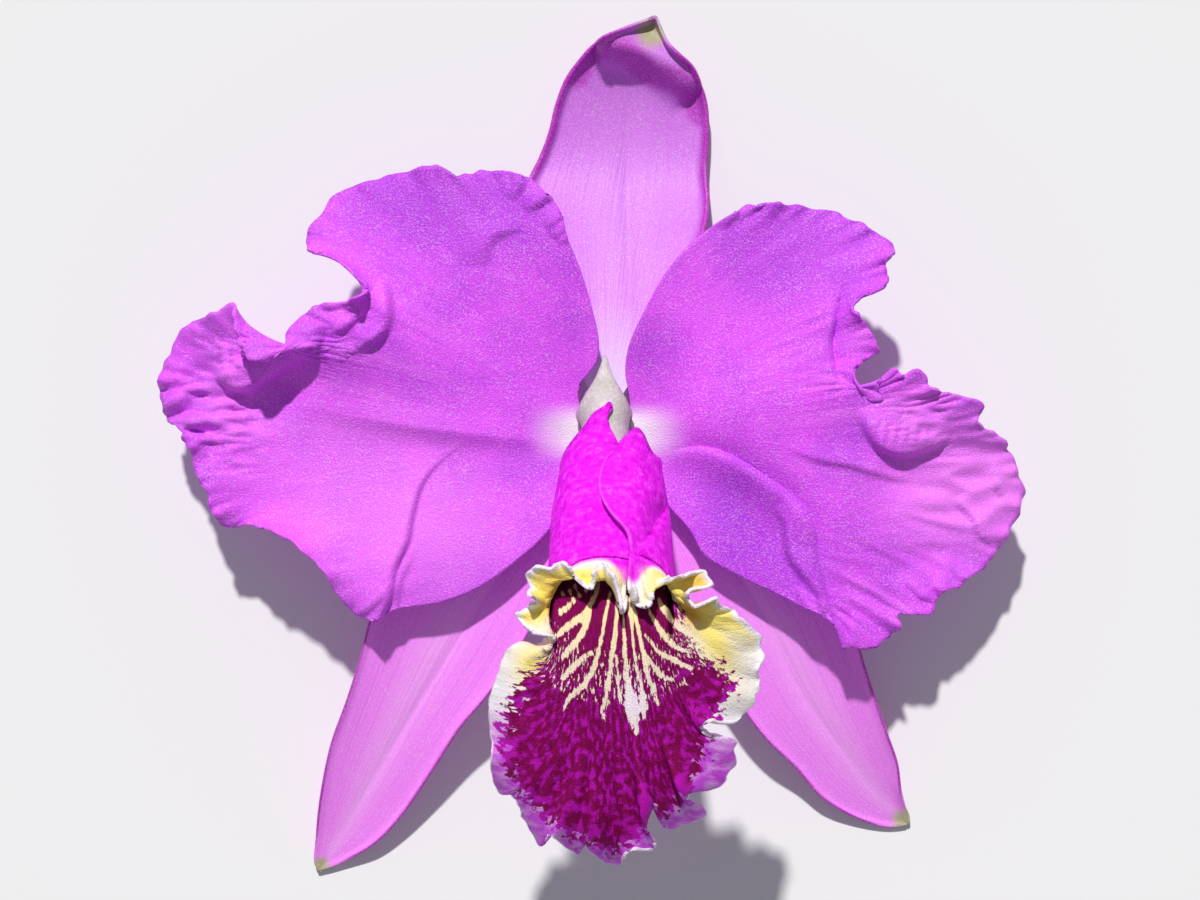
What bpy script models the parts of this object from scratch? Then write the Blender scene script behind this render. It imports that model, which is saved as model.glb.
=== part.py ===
"""Cattleya orchid bloom, as picked, lying face up on a surface.

Metres, +Z up. The bloom is drawn in millimetres round its own centre, the point where
its organs meet, with +X to its right, +Y to its top and +Z out of its face. An empty
carries it, so that the surface is at Z = 0 and the bounding box is centred over the origin.
"""
import math

import bmesh
import bpy
import numpy as np

MM = 0.001

# Where the bloom's centre stands: beside the origin, and above the surface
CENTRE_X = 3.82
CENTRE_Y = 4.5
CENTRE_HEIGHT = 22.0

PETAL_THICKNESS = 0.7
SEPAL_THICKNESS = 0.7
LIP_THICKNESS = 0.7

# The steps of each organ's grid, across it and from its foot to its margin
PETAL_COLUMNS, PETAL_ROWS = 46, 13
SEPAL_COLUMNS, SEPAL_ROWS = 10, 20
LIP_COLUMNS, TUBE_ROWS, FLARE_ROWS = 100, 5, 7
STALK_RINGS, STALK_ROUNDNESS = 22, 2

# The lip's tube leaves the bloom's centre half out of its face and half down
HALF_TURN = math.sqrt(0.5)
TUBE_START = np.array([0.0, -1.5, 3.5])
TUBE_AXIS = np.array([0.0, -HALF_TURN, HALF_TURN])
TUBE_RIGHT = np.array([1.0, 0.0, 0.0])
TUBE_TOP = np.array([0.0, HALF_TURN, HALF_TURN])
TUBE_LENGTH = 56.0

PURPLE = (0.50, 0.08, 0.78)
LILAC = (0.62, 0.19, 0.86)
MAGENTA = (0.62, 0.02, 0.45)
CREAM = (0.62, 0.61, 0.50)
IVORY = (0.80, 0.76, 0.62)
GREEN = (0.30, 0.36, 0.10)


def clear_scene():
    for item in list(bpy.data.objects):
        bpy.data.objects.remove(item, do_unlink=True)


def make_material(name, colour, roughness):
    material = bpy.data.materials.new(name)
    material.use_nodes = True
    shader = material.node_tree.nodes["Principled BSDF"]
    shader.inputs["Base Color"].default_value = (*colour, 1.0)
    shader.inputs["Roughness"].default_value = roughness
    shader.inputs["Metallic"].default_value = 0.0
    material.diffuse_color = (*colour, 1.0)
    return material


def finish(item, name, material, collection, bloom):
    item.name = name
    item.data.name = name
    item.data.materials.clear()
    item.data.materials.append(material)
    for holder in list(item.users_collection):
        holder.objects.unlink(item)
    collection.objects.link(item)
    item.parent = bloom


def smooth_path(points, count):
    """Places along a smooth curve through the points, closer where the points are closer.

    Each point starts with x, y and z. What follows them is carried along.
    """
    points = np.array(points, dtype=float)
    gaps = np.linalg.norm(np.diff(points[:, :3], axis=0), axis=1)
    knots = np.concatenate([[0.0], np.cumsum(np.sqrt(gaps))])
    slopes = np.gradient(points, knots, axis=0)
    places = np.linspace(0.0, knots[-1], count)
    segment = np.clip(np.searchsorted(knots, places, side="right") - 1, 0, len(knots) - 2)
    width = (knots[segment + 1] - knots[segment])[:, None]
    t = (places - knots[segment])[:, None] / width
    leave, arrive = slopes[segment] * width, slopes[segment + 1] * width
    return hermite(t, points[segment], leave, points[segment + 1], arrive)


def hermite(t, start, leave, end, arrive):
    """The curve from start to end that leaves and arrives along the given directions."""
    return ((2 * t**3 - 3 * t**2 + 1) * start + (t**3 - 2 * t**2 + t) * leave
            + (3 * t**2 - 2 * t**3) * end + (t**3 - t**2) * arrive)


def ease(low, high, value):
    t = np.clip((value - low) / (high - low), 0.0, 1.0)
    return t * t * (3.0 - 2.0 * t)


def stretch(foot, side_a, margin, side_b, spread=1.2, rounds=500):
    """A net held by four edges, with rows from the foot to the margin.

    A wave of the margin fades toward the foot, the more slowly the smaller spread is.
    """
    t = np.linspace(0.0, 1.0, len(side_a))[:, None, None]
    s = np.linspace(0.0, 1.0, len(foot))[None, :, None]
    net = (foot[None] * (1 - t) + margin[None] * t + side_a[:, None] * (1 - s) + side_b[:, None] * s
           - foot[0] * (1 - s) * (1 - t) - foot[-1] * s * (1 - t)
           - margin[0] * (1 - s) * t - margin[-1] * s * t)
    across = np.array([0.5, 0.5, spread])
    for _ in range(rounds):
        above_and_below = net[2:, 1:-1] + net[:-2, 1:-1]
        beside = net[1:-1, 2:] + net[1:-1, :-2]
        net[1:-1, 1:-1] = (above_and_below + across * beside) / (2.0 + 2.0 * across)
    return net


def swell(net, start, end, width, height):
    """Raises a soft ridge along a line on the blade, or sinks a groove."""
    start, end = np.array(start, dtype=float), np.array(end, dtype=float)
    line = end - start
    offset = net[..., :2] - start
    share = np.clip((offset @ line) / (line @ line), 0.0, 1.0)
    distance = np.linalg.norm(offset - share[..., None] * line, axis=-1)
    net[..., 2] += height * np.exp(-(distance / width) ** 2)


def hollow(net, depth):
    """Sinks the middle of a blade that lies between two long edges."""
    rows, columns = net.shape[:2]
    along = np.sin(np.pi * np.linspace(0.0, 1.0, rows)) ** 0.7
    across = np.linspace(-1.0, 1.0, columns)
    net[..., 2] -= depth * along[:, None] * (1.0 - across**2)[None, :]


def make_blade(name, net, thickness, material, collection, bloom):
    """A grid laid over the net, cut into triangles and given its thickness."""
    rows, columns = net.shape[0] - 1, net.shape[1] - 1
    bpy.ops.object.select_all(action="DESELECT")
    bpy.ops.mesh.primitive_grid_add(x_subdivisions=columns, y_subdivisions=rows, size=2.0)
    blade = bpy.context.object
    for vertex in blade.data.vertices:
        column = round((vertex.co.x + 1.0) / 2.0 * columns)
        row = round((vertex.co.y + 1.0) / 2.0 * rows)
        vertex.co = net[row, column] * MM
    blade.data.shade_smooth()
    triangles = blade.modifiers.new("Triangles", "TRIANGULATE")
    triangles.quad_method = "FIXED"
    body = blade.modifiers.new("Thickness", "SOLIDIFY")
    body.thickness = thickness * MM
    body.offset = 0.0
    finish(blade, name, material, collection, bloom)
    return blade


def make_stalk(name, points, reshape, material, collection, bloom):
    """A closed round stem through points that each hold x, y, z and a radius.

    The function reshape then takes the place of each corner, in mm, and gives its new one.
    """
    curve = bpy.data.curves.new(name, "CURVE")
    curve.dimensions = "3D"
    curve.bevel_depth = MM
    curve.bevel_resolution = STALK_ROUNDNESS
    curve.use_fill_caps = True
    path = smooth_path(points, STALK_RINGS)
    spline = curve.splines.new("POLY")
    spline.points.add(len(path) - 1)
    for point, (x, y, z, radius) in zip(spline.points, path):
        point.co = (x * MM, y * MM, z * MM, 1.0)
        point.radius = radius
    drawn = bpy.data.objects.new(name, curve)
    collection.objects.link(drawn)
    mesh = bpy.data.meshes.new_from_object(drawn.evaluated_get(bpy.context.evaluated_depsgraph_get()))
    bpy.data.objects.remove(drawn, do_unlink=True)
    shape = bmesh.new()
    shape.from_mesh(mesh)
    bmesh.ops.remove_doubles(shape, verts=shape.verts, dist=0.01 * MM)
    for vertex in shape.verts:
        x, y, z = reshape(*(vertex.co / MM))
        vertex.co = (x * MM, y * MM, z * MM)
    shape.to_mesh(mesh)
    shape.free()
    stalk = bpy.data.objects.new(name, mesh)
    collection.objects.link(stalk)
    finish(stalk, name, material, collection, bloom)
    return stalk


def press_flat(x, y, z):
    """Flattens the stalk where it would sink below the surface."""
    return x, y, max(z, -CENTRE_HEIGHT)


def draw_out_hump(x, y, z):
    """Draws the column's back out to a blunt point between the two petals."""
    drawn = ease(-0.6, 2.0, z) * ease(9.0, 6.0, z)
    return x, y + 0.95 * drawn * max(0.0, y - 2.4), z


def left_petal():
    foot = [(-5.9, 2.4, 1.2), (-5.6, -0.4, 1.5), (-5.7, -3.2, 1.2)]
    upper = [
        (-5.9, 2.4, 1.2), (-7, 5, 1.6), (-5.6, 9, 2.4), (-2.6, 12.8, 3.2), (-1.9, 17, 4),
        (-3.3, 24, 5), (-5.9, 32.4, 6), (-8.4, 38.7, 6), (-10.3, 45, 5), (-15.3, 50.4, 4.5)]
    lower = [
        (-5.7, -3.2, 1.2), (-8, -12, 2.2), (-11.7, -21, 3), (-18.5, -27.8, 3), (-27.2, -34, 2),
        (-35, -37, 1.5), (-44.5, -38.6, 1), (-48.7, -41.2, 1)]
    margin = [
        (-15.3, 50.4, 4.5), (-22.6, 52.9, 4), (-30.5, 51.8, 2), (-37, 53.8, 3), (-47.7, 51.4, 0.5),
        (-57.5, 47.2, 0), (-62.5, 40, 1.5), (-62, 36.2, 4), (-57, 34.8, 6), (-52, 30.6, 9),
        (-49.2, 27.8, 10.5), (-52.5, 25.6, 9.5), (-58, 25, 8), (-62.5, 23.2, 7), (-65.5, 18.8, 7.5),
        (-68.4, 13.9, 9), (-72.5, 13.2, 10.5), (-76.3, 17.4, 10.5), (-77.4, 21.5, 9.5), (-77.4, 25, 7.5),
        (-81.5, 23.3, 5), (-87.6, 20.8, 1), (-92.1, 15.5, -2), (-94.3, 8, -3.5), (-93.2, 2.1, -4),
        (-89.3, -1.5, -1), (-87.6, -6, -2), (-85.4, -12.5, -1), (-82.5, -18.2, -2), (-79.6, -21.2, -4),
        (-74.4, -20.6, 2.5), (-67.5, -23.2, 6), (-60.8, -28.4, 6), (-57.2, -34, 4), (-54.2, -38.5, 1),
        (-48.7, -41.2, 1)]
    net = stretch(
        smooth_path(foot, PETAL_COLUMNS), smooth_path(upper, PETAL_ROWS),
        smooth_path(margin, PETAL_COLUMNS), smooth_path(lower, PETAL_ROWS))
    # The upper ruffle overhangs a deep fold
    swell(net, (-79, 9), (-70, 10.5), 4.0, 3.5)
    swell(net, (-70, 10.5), (-60, 19), 3.5, 2.2)
    swell(net, (-75, 1.5), (-60, 12), 4.0, -2.0)
    return net


def right_petal():
    foot = [(5, -3, 1.2), (4.7, -0.3, 1.5), (4.8, 2.4, 1.2)]
    lower = [
        (5, -3, 1.2), (8.2, -10, 2.2), (11.9, -16, 3.2), (17.1, -22, 3.5), (20, -27, 3),
        (27.6, -31.6, 2.5), (34, -34.6, 2), (40, -37.6, 2.5), (46.4, -41, 2.5), (48.9, -46.8, 2)]
    upper = [
        (4.8, 2.4, 1.2), (4.5, 6, 1.8), (3.6, 10.5, 2.6), (4.2, 16, 3.6), (6.7, 21.9, 4.5),
        (11.9, 31.4, 5), (17.1, 37.6, 5), (23.4, 42.4, 4.5), (28.6, 45.4, 4)]
    margin = [
        (48.9, -46.8, 2), (54.8, -46, 2), (60.4, -42.6, 2), (60.6, -40, 3), (66.8, -39.2, 2),
        (69, -36.4, 0), (73.4, -33.3, 0), (80.5, -28, -3), (84.6, -21.8, -3), (87, -14, -4),
        (85, -7, -2.5), (82.5, -2.9, 0), (76.8, 0.5, 3.5), (78, 3.6, 5), (73, 6, 6.5), (69.2, 6.9, 7.5),
        (66.6, 8.2, 8.5), (63.6, 11.3, 9), (60.6, 9.8, 8.5), (58.8, 11.3, 8.5), (56.3, 9.4, 7.5),
        (56.8, 5.8, 6.5), (54.2, 5, 6), (52.2, 7.2, 6.5), (50.4, 10.6, 7), (53.8, 13.8, 5.5),
        (56.5, 15.6, 4.5), (53.7, 21, 6.5), (50.4, 23.3, 7.5), (51.2, 25.8, 7), (55.8, 27.8, 5),
        (58.3, 30, 4), (57.6, 33.4, 3.5), (59.5, 36.2, 3), (56, 40.5, 1), (51, 43, 1), (43, 45.2, 2),
        (35, 46, 3), (28.6, 45.4, 4)]
    net = stretch(
        smooth_path(foot, PETAL_COLUMNS), smooth_path(lower, PETAL_ROWS),
        smooth_path(margin, PETAL_COLUMNS), smooth_path(upper, PETAL_ROWS))
    # The upper ruffle stands over a fold, and a flap is turned up beside it
    swell(net, (53.5, 0), (66, -4), 4.5, 4.5)
    swell(net, (55.5, -8), (65, -10), 4.0, -2.0)
    swell(net, (48.5, 19.5), (49.5, 12), 3.5, 2.2)
    # The blade steps down beside the middle vein
    swell(net, (20, -14), (36, -26), 9.0, -1.6)
    return net


def dorsal_sepal():
    foot = [(-2.2, 4.9, -1.7), (0, 5, -1.8), (2.2, 4.9, -1.7)]
    left = [
        (-2.2, 4.9, -1.7), (-4.8, 9.4, -1.9), (-11.2, 24.2, -4), (-15.5, 37.3, -9.5), (-17.2, 47.2, -15.5),
        (-16.8, 52.7, -18.5), (-14.6, 57.5, -19.5), (-12.5, 63.1, -19.5), (-11.2, 68.4, -19), (-9, 74.1, -18),
        (-6.2, 78, -17), (-3.4, 80.9, -15.5), (0, 82.8, -14), (4.7, 84.9, -13.5), (9.6, 86.9, -14.5)]
    right = [
        (2.2, 4.9, -1.7), (5.7, 10.5, -2), (12.6, 22.1, -4), (17.4, 31.8, -7.5), (19.6, 38.9, -11),
        (21, 43.5, -14), (21.5, 48.4, -17), (21.1, 54.9, -19.2), (21.5, 62.4, -19.5), (21.3, 68.2, -19),
        (20, 73, -18), (18.2, 76.4, -16), (15.4, 78.6, -14.5), (12.8, 81.1, -14), (10.4, 86.9, -14.5)]
    tip = [(9.6, 86.9, -14.5), (10, 87.1, -14.6), (10.4, 86.9, -14.5)]
    net = stretch(
        smooth_path(foot, SEPAL_COLUMNS), smooth_path(left, SEPAL_ROWS),
        smooth_path(tip, SEPAL_COLUMNS), smooth_path(right, SEPAL_ROWS), spread=4.0)
    hollow(net, 2.15)
    # The tip is thrown forward over the blade as a hood
    swell(net, (-1, 81), (9, 79), 3.5, 5.0)
    swell(net, (9, 79), (17, 73), 3.5, 4.0)
    return net


def left_sepal():
    foot = [(-3.8, -2.2, -1), (-2.6, -3.5, -1), (-1.2, -4.2, -1)]
    outer = [
        (-3.8, -2.2, -1), (-14.2, -7.3, -1.5), (-26.8, -13.6, -2.3), (-37.3, -21, -3),
        (-44.8, -28.4, -3.7), (-48.4, -34.7, -4.4), (-50.2, -41.1, -5.2), (-52.5, -49.7, -7),
        (-55.5, -58.7, -9.2), (-59, -68.1, -12), (-61.7, -80.3, -16), (-62.9, -89.3, -19.5),
        (-63.3, -94, -20.8), (-62.6, -95.8, -21.3)]
    inner = [
        (-1.2, -4.2, -1), (-4.2, -10, -1.2), (-8, -20, -1.8), (-11.2, -30.6, -2.8), (-15.4, -41, -4.2),
        (-20.3, -50, -6), (-25.4, -57.1, -7.6), (-31.3, -64.2, -9.5), (-37.9, -74.5, -13),
        (-44.6, -84.2, -16.5), (-50.1, -89.9, -18.5), (-56.6, -93.7, -20.5), (-61.8, -95.9, -21.3)]
    tip = [(-62.6, -95.8, -21.3), (-62.2, -96.1, -21.3), (-61.8, -95.9, -21.3)]
    net = stretch(
        smooth_path(foot, SEPAL_COLUMNS), smooth_path(outer, SEPAL_ROWS),
        smooth_path(tip, SEPAL_COLUMNS), smooth_path(inner, SEPAL_ROWS), spread=4.0)
    hollow(net, 1.2)
    return net


def right_sepal():
    foot = [(1.2, -4.2, -1), (2.6, -3.5, -1), (3.8, -2.2, -1)]
    inner = [
        (1.2, -4.2, -1), (4.2, -10, -1.2), (8.4, -19.9, -1.8), (12.4, -30.4, -2.8), (17.4, -41, -4.2),
        (23.2, -50.6, -6.2), (28.4, -59.8, -9), (33.5, -66.6, -11.5), (39.9, -73, -14.5), (46, -79.9, -17.5),
        (53.2, -84.3, -20), (59.8, -86.4, -21.3), (64.2, -86.2, -21.3)]
    outer = [
        (3.8, -2.2, -1), (15, -6.3, -1.5), (27.7, -11.5, -2.3), (40.3, -20, -3), (47.8, -30.5, -4.2),
        (51.5, -40.1, -6), (53.4, -47.7, -7.8), (56.3, -56.7, -10), (59.7, -66, -13), (62, -72.3, -15.5),
        (63.2, -79.5, -18.5), (64.7, -83.4, -20.8), (65.1, -85.3, -21.3)]
    tip = [(64.2, -86.2, -21.3), (64.9, -86, -21.3), (65.1, -85.3, -21.3)]
    net = stretch(
        smooth_path(foot, SEPAL_COLUMNS), smooth_path(inner, SEPAL_ROWS),
        smooth_path(tip, SEPAL_COLUMNS), smooth_path(outer, SEPAL_ROWS), spread=4.0)
    hollow(net, 1.2)
    return net


def lip_margin():
    """The lip's free margin from its left edge, round below, to its right edge.

    Each point ends with its angle round the tube, 0 below and 180 on top.
    """
    points = [
        (3.9, -32, 43.5, -205), (2.4, -36.3, 46, -195), (1, -30, 48.5, -186), (-1, -27.2, 48, -178),
        (-2.7, -29.1, 47, -170), (-3.7, -31.8, 48.5, -162), (-6.4, -29.9, 48.5, -154), (-8.3, -27.2, 47, -146),
        (-12.5, -28, 45, -137), (-15.3, -29, 45, -129), (-16.3, -32.2, 45, -122), (-14, -34.3, 46, -114),
        (-16.8, -36.6, 42, -106), (-17.6, -38.3, 40, -99), (-15.3, -40.6, 43, -92), (-11.6, -40.9, 47, -84),
        (-13, -43.2, 42, -76), (-18.3, -43.8, 38, -68), (-21.2, -47.6, 36, -60), (-22.9, -53.5, 34, -52),
        (-23.4, -60.5, 34, -45), (-23, -66.8, 36, -39), (-21.1, -72.9, 33, -33), (-18, -73.5, 36, -28),
        (-17.4, -77.2, 32, -24), (-13.4, -83.2, 33, -19), (-11.1, -80.6, 38, -15), (-6.5, -85.2, 33, -11),
        (-4.3, -82.4, 38, -7), (-1.6, -86.2, 34, -3), (1.8, -88, 30, 2), (3.8, -84.5, 37, 6),
        (9.2, -83.9, 33, 10), (7.5, -79, 39, 15), (9.2, -74.2, 41, 20), (11.9, -80.4, 34, 25),
        (16, -79, 32, 30), (19, -77, 33, 35), (15.2, -73.1, 41, 39), (22.6, -71.5, 35, 44),
        (25.2, -67.6, 34, 50), (24.9, -62.7, 36, 56), (20.4, -60.8, 40, 62), (19.2, -58, 43, 67),
        (25.2, -58.9, 36, 72), (29.5, -54.5, 36, 78), (30.7, -51.1, 35, 85), (29.7, -45.3, 38, 92),
        (27.9, -39.4, 40, 99), (24, -36.7, 43, 107), (20.5, -34.3, 45, 114), (16.6, -35.5, 47, 121),
        (15.1, -33, 48, 129), (18.4, -31.7, 46, 137), (17.9, -28.2, 46, 145), (14, -29.5, 47, 153),
        (11.6, -29.8, 47, 161), (9.1, -31.3, 48.5, 168), (8.4, -35.6, 48, 174), (6.2, -35.4, 47.5, 180),
        (4.3, -32, 48, 185)]
    path = smooth_path(points, LIP_COLUMNS)
    return path[:, :3], path[:, 3]


def round_tube(angle, along, radius):
    """Points on the lip's tube, and the way out from its axis at each."""
    turn = np.radians(angle)[:, None]
    outward = np.sin(turn) * TUBE_RIGHT - np.cos(turn) * TUBE_TOP
    centre = TUBE_START + TUBE_AXIS * along[:, None]
    return centre + outward * radius[:, None], outward


def even_out(line, reach):
    """The line without its waves shorter than the reach, its ends kept."""
    kernel = np.exp(-0.5 * (np.arange(-2 * reach, 2 * reach + 1) / reach) ** 2)
    padded = np.pad(line, ((2 * reach, 2 * reach), (0, 0)), mode="reflect", reflect_type="odd")
    return np.stack([np.convolve(axis, kernel / kernel.sum(), mode="valid") for axis in padded.T], axis=1)


def lip():
    """A funnel that closes to a tube, whose front flares out to the frilled margin."""
    margin, angle = lip_margin()
    side = abs(angle)
    rear_left = np.interp(
        side, [0, 30, 60, 90, 115, 135, 160, 180, 190, 205], [0.4, 2.5, 7, 11, 11, 9.5, 6, 2.3, 4, 9])
    rear_right = np.interp(
        side, [0, 30, 60, 90, 115, 145, 158, 167, 185], [0.4, 2.5, 7, 11, 12, 13, 9.8, 9.3, 14.5])
    rear = np.where(angle < 0.0, rear_left, rear_right)
    rear_radius = np.interp(side, [0, 30, 60, 90, 205], [3.6, 6.5, 9, 10, 11])
    front = np.interp(side, [0, 60, 120, 205], [56, 53, 47, 46])
    # The right lobe lies over the left one, and their free edges are bowed
    spiral = angle / 180.0
    tube_share = np.arange(TUBE_ROWS) / TUBE_ROWS
    left_edge = np.interp(tube_share, [0, 0.2, 0.5], [183, 195, 205])
    right_edge = np.interp(tube_share, [0, 0.13, 0.3, 0.54, 0.68, 0.82], [166, 179, 187, 186, 178, 165])
    rows = []
    for row in range(TUBE_ROWS):
        share = row / TUBE_ROWS
        along = rear + (front - rear) * share
        radius = np.interp(along / TUBE_LENGTH, [0, 0.15, 0.4, 0.7, 1], [4.2, 10.4, 11.6, 12.2, 13.2])
        radius += (rear_radius - radius) * max(0.0, 1.0 - 3.0 * share) + spiral
        left_pull = (left_edge[row] - 150.0) / (side[0] - 150.0)
        right_pull = (right_edge[row] - 90.0) / (side[-1] - 90.0)
        turned = np.where(angle < -150.0, -150.0 + (angle + 150.0) * left_pull, angle)
        turned = np.where(angle > 90.0, 90.0 + (angle - 90.0) * right_pull, turned)
        rows.append(round_tube(turned, along, radius)[0])
    mouth, outward = round_tube(turned, front, 12.6 + 0.6 * np.cos(np.radians(angle)) + spiral)
    # Each vein leaves the mouth along the tube and arrives at the margin bent outward and back
    low = ease(110.0, 20.0, side)[:, None]
    leave = TUBE_AXIS * (9.0 + 26.0 * low)
    arrive = outward * (11.0 + 14.0 * low) - TUBE_AXIS * (3.0 + 16.0 * low)
    calm = even_out(margin, 3)
    for row in range(FLARE_ROWS + 1):
        t = row / FLARE_ROWS
        rows.append(hermite(t, mouth, leave, calm, arrive) + t**3 * (margin - calm))
    net = np.array(rows)
    raise_floor(net, side)
    return net


def raise_floor(net, side):
    """Swells the floor of the lip's throat up to the frill, so that the mouth is nearly closed."""
    floor_height = np.interp(
        net[..., 1], [-90, -82, -74, -66, -58, -50, -42, -37, -34, -31, -28, -24, -20, -14],
        [28, 35, 40, 43, 44.5, 45.5, 45.5, 44, 41, 35.5, 28.5, 19.5, 12, 2])
    flare = (np.arange(len(net)) - TUBE_ROWS) / FLARE_ROWS
    below = ease(118.0, 88.0, side)[None, :] * ease(1.0, 0.75, flare)[:, None]
    shortfall = floor_height - 0.012 * net[..., 0] ** 2 - net[..., 2]
    net[..., 2] += below * (shortfall + np.sqrt(shortfall**2 + 4.0)) / 2.0


def anther_cap(material, collection, bloom):
    bpy.ops.object.select_all(action="DESELECT")
    bpy.ops.mesh.primitive_uv_sphere_add(segments=12, ring_count=8, radius=1.0)
    cap = bpy.context.object
    for vertex in cap.data.vertices:
        vertex.co = (3.0 * vertex.co.x * MM, 2.4 * vertex.co.y * MM, 1.6 * vertex.co.z * MM)
    cap.data.shade_smooth()
    finish(cap, "anther_cap", material, collection, bloom)
    cap.location = (0.0, -18.0 * MM, 26.8 * MM)
    cap.rotation_euler = (math.radians(45.0), 0.0, 0.0)
    return cap


def main():
    clear_scene()
    collection = bpy.data.collections.new("cattleya_bloom")
    bpy.context.scene.collection.children.link(collection)
    bloom = bpy.data.objects.new("bloom", None)
    collection.objects.link(bloom)
    bloom.location = (CENTRE_X * MM, CENTRE_Y * MM, CENTRE_HEIGHT * MM)

    petal = make_material("petal_purple", PURPLE, 0.55)
    sepal = make_material("sepal_lilac", LILAC, 0.55)
    magenta = make_material("lip_magenta", MAGENTA, 0.5)
    cream = make_material("column_cream", CREAM, 0.45)
    ivory = make_material("anther_ivory", IVORY, 0.45)
    green = make_material("stalk_green", GREEN, 0.5)

    make_blade("petal_left", left_petal(), PETAL_THICKNESS, petal, collection, bloom)
    make_blade("petal_right", right_petal(), PETAL_THICKNESS, petal, collection, bloom)
    make_blade("dorsal_sepal", dorsal_sepal(), SEPAL_THICKNESS, sepal, collection, bloom)
    make_blade("sepal_left", left_sepal(), SEPAL_THICKNESS, sepal, collection, bloom)
    make_blade("sepal_right", right_sepal(), SEPAL_THICKNESS, sepal, collection, bloom)
    make_blade("lip", lip(), LIP_THICKNESS, magenta, collection, bloom)
    column_path = [
        (0, 0.2, -1.8, 4.0), (0, 0.2, -0.9, 4.1), (-0.2, 0.8, 0.8, 4.4), (-0.6, 1.9, 2.6, 4.7),
        (-0.8, 2.6, 4.6, 5.9), (-0.8, 2.5, 6.4, 5.7), (-0.4, -2.2, 9.8, 4.5), (0, -7, 15, 4.2),
        (0, -12.5, 20.8, 4), (0, -16.5, 25.3, 3.4)]
    make_stalk("column", column_path, draw_out_hump, cream, collection, bloom)
    anther_cap(ivory, collection, bloom)
    stalk_path = [
        (0, 0.2, -2.2, 3.7), (0, 0.2, -3.6, 3.5), (0, -0.7, -8, 3.4), (0, -5, -15, 3.4), (0, -14, -19.4, 3),
        (0.5, -28, -20.4, 2.5), (1.5, -45, -20.4, 2.5), (2.5, -60, -20.4, 2.5)]
    make_stalk("ovary_pedicel", stalk_path, press_flat, green, collection, bloom)


main()
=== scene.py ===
import bpy
import numpy as np
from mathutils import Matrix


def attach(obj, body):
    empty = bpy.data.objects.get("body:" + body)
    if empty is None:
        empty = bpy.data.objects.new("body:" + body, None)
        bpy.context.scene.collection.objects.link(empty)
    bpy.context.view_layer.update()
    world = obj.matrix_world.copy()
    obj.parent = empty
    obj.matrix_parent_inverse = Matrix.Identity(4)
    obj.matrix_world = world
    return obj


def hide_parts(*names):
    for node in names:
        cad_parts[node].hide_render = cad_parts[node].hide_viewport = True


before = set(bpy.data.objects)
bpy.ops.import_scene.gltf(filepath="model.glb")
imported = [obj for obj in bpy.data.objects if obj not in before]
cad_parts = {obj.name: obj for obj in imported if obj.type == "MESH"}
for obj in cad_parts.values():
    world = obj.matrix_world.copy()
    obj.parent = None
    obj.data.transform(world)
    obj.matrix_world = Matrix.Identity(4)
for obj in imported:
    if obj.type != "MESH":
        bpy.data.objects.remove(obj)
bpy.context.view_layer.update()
MM = 0.001


# Petals: the two broad inner blades of the bloom. Each is thin, crystalline tissue on a white claw,
# and grew out flat from the bloom's centre. Its margin grew longer than the blade, so it is ruffled,
# folded over and finely pleated.
BLOOM_CENTRE = np.array([3.82, 4.5, 22.0])
BLADE_THICKNESS = 0.7
MARK_LIMIT = 10.0
PETAL_STEPS = (360, 120)
PETAL_BRIGHT = (0.78, 0.074, 0.94)
PETAL_DEEP = (0.38, 0.028, 0.70)
PETAL_PALE = (0.90, 0.20, 0.97)
PETAL_SPARKLE = (0.97, 0.55, 1.0)
CLAW_WHITE = (1.0, 0.92, 0.99)


def hermite(t, start, leave, end, arrive):
    """The curve from start to end that leaves and arrives along the given directions."""
    return ((2 * t**3 - 3 * t**2 + 1) * start + (t**3 - 2 * t**2 + t) * leave
            + (3 * t**2 - 2 * t**3) * end + (t**3 - t**2) * arrive)


def through(x, places, values):
    """A smooth curve through the values at the given places."""
    places, values = np.array(places, dtype=float), np.array(values, dtype=float)
    slopes = np.gradient(values, places, axis=0)
    x = np.clip(x, places[0], places[-1])
    segment = np.clip(np.searchsorted(places, x, side="right") - 1, 0, len(places) - 2)
    width = places[segment + 1] - places[segment]
    t = (x - places[segment]) / width
    if values.ndim > 1:
        width, t = width[:, None], t[:, None]
    return hermite(
        t, values[segment], slopes[segment] * width, values[segment + 1], slopes[segment + 1] * width)


def smooth_path(points, count):
    """Places along a smooth curve through points of x, y, z and what else they carry."""
    points = np.array(points, dtype=float)
    gaps = np.linalg.norm(np.diff(points[:, :3], axis=0), axis=1)
    knots = np.concatenate([[0.0], np.cumsum(np.sqrt(gaps))])
    return through(np.linspace(0.0, knots[-1], count), knots, points)


def ease(low, high, value):
    """0 at low, 1 at high and a smooth step between them."""
    t = np.clip((value - low) / (high - low), 0.0, 1.0)
    return t * t * (3.0 - 2.0 * t)


def double(net):
    """The same net with a new row and column between each two."""
    for _ in range(2):
        finer = np.empty((2 * net.shape[0] - 1, *net.shape[1:]))
        finer[::2] = net
        finer[1::2] = (net[1:] + net[:-1]) / 2.0
        net = finer.swapaxes(0, 1)
    return net


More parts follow.
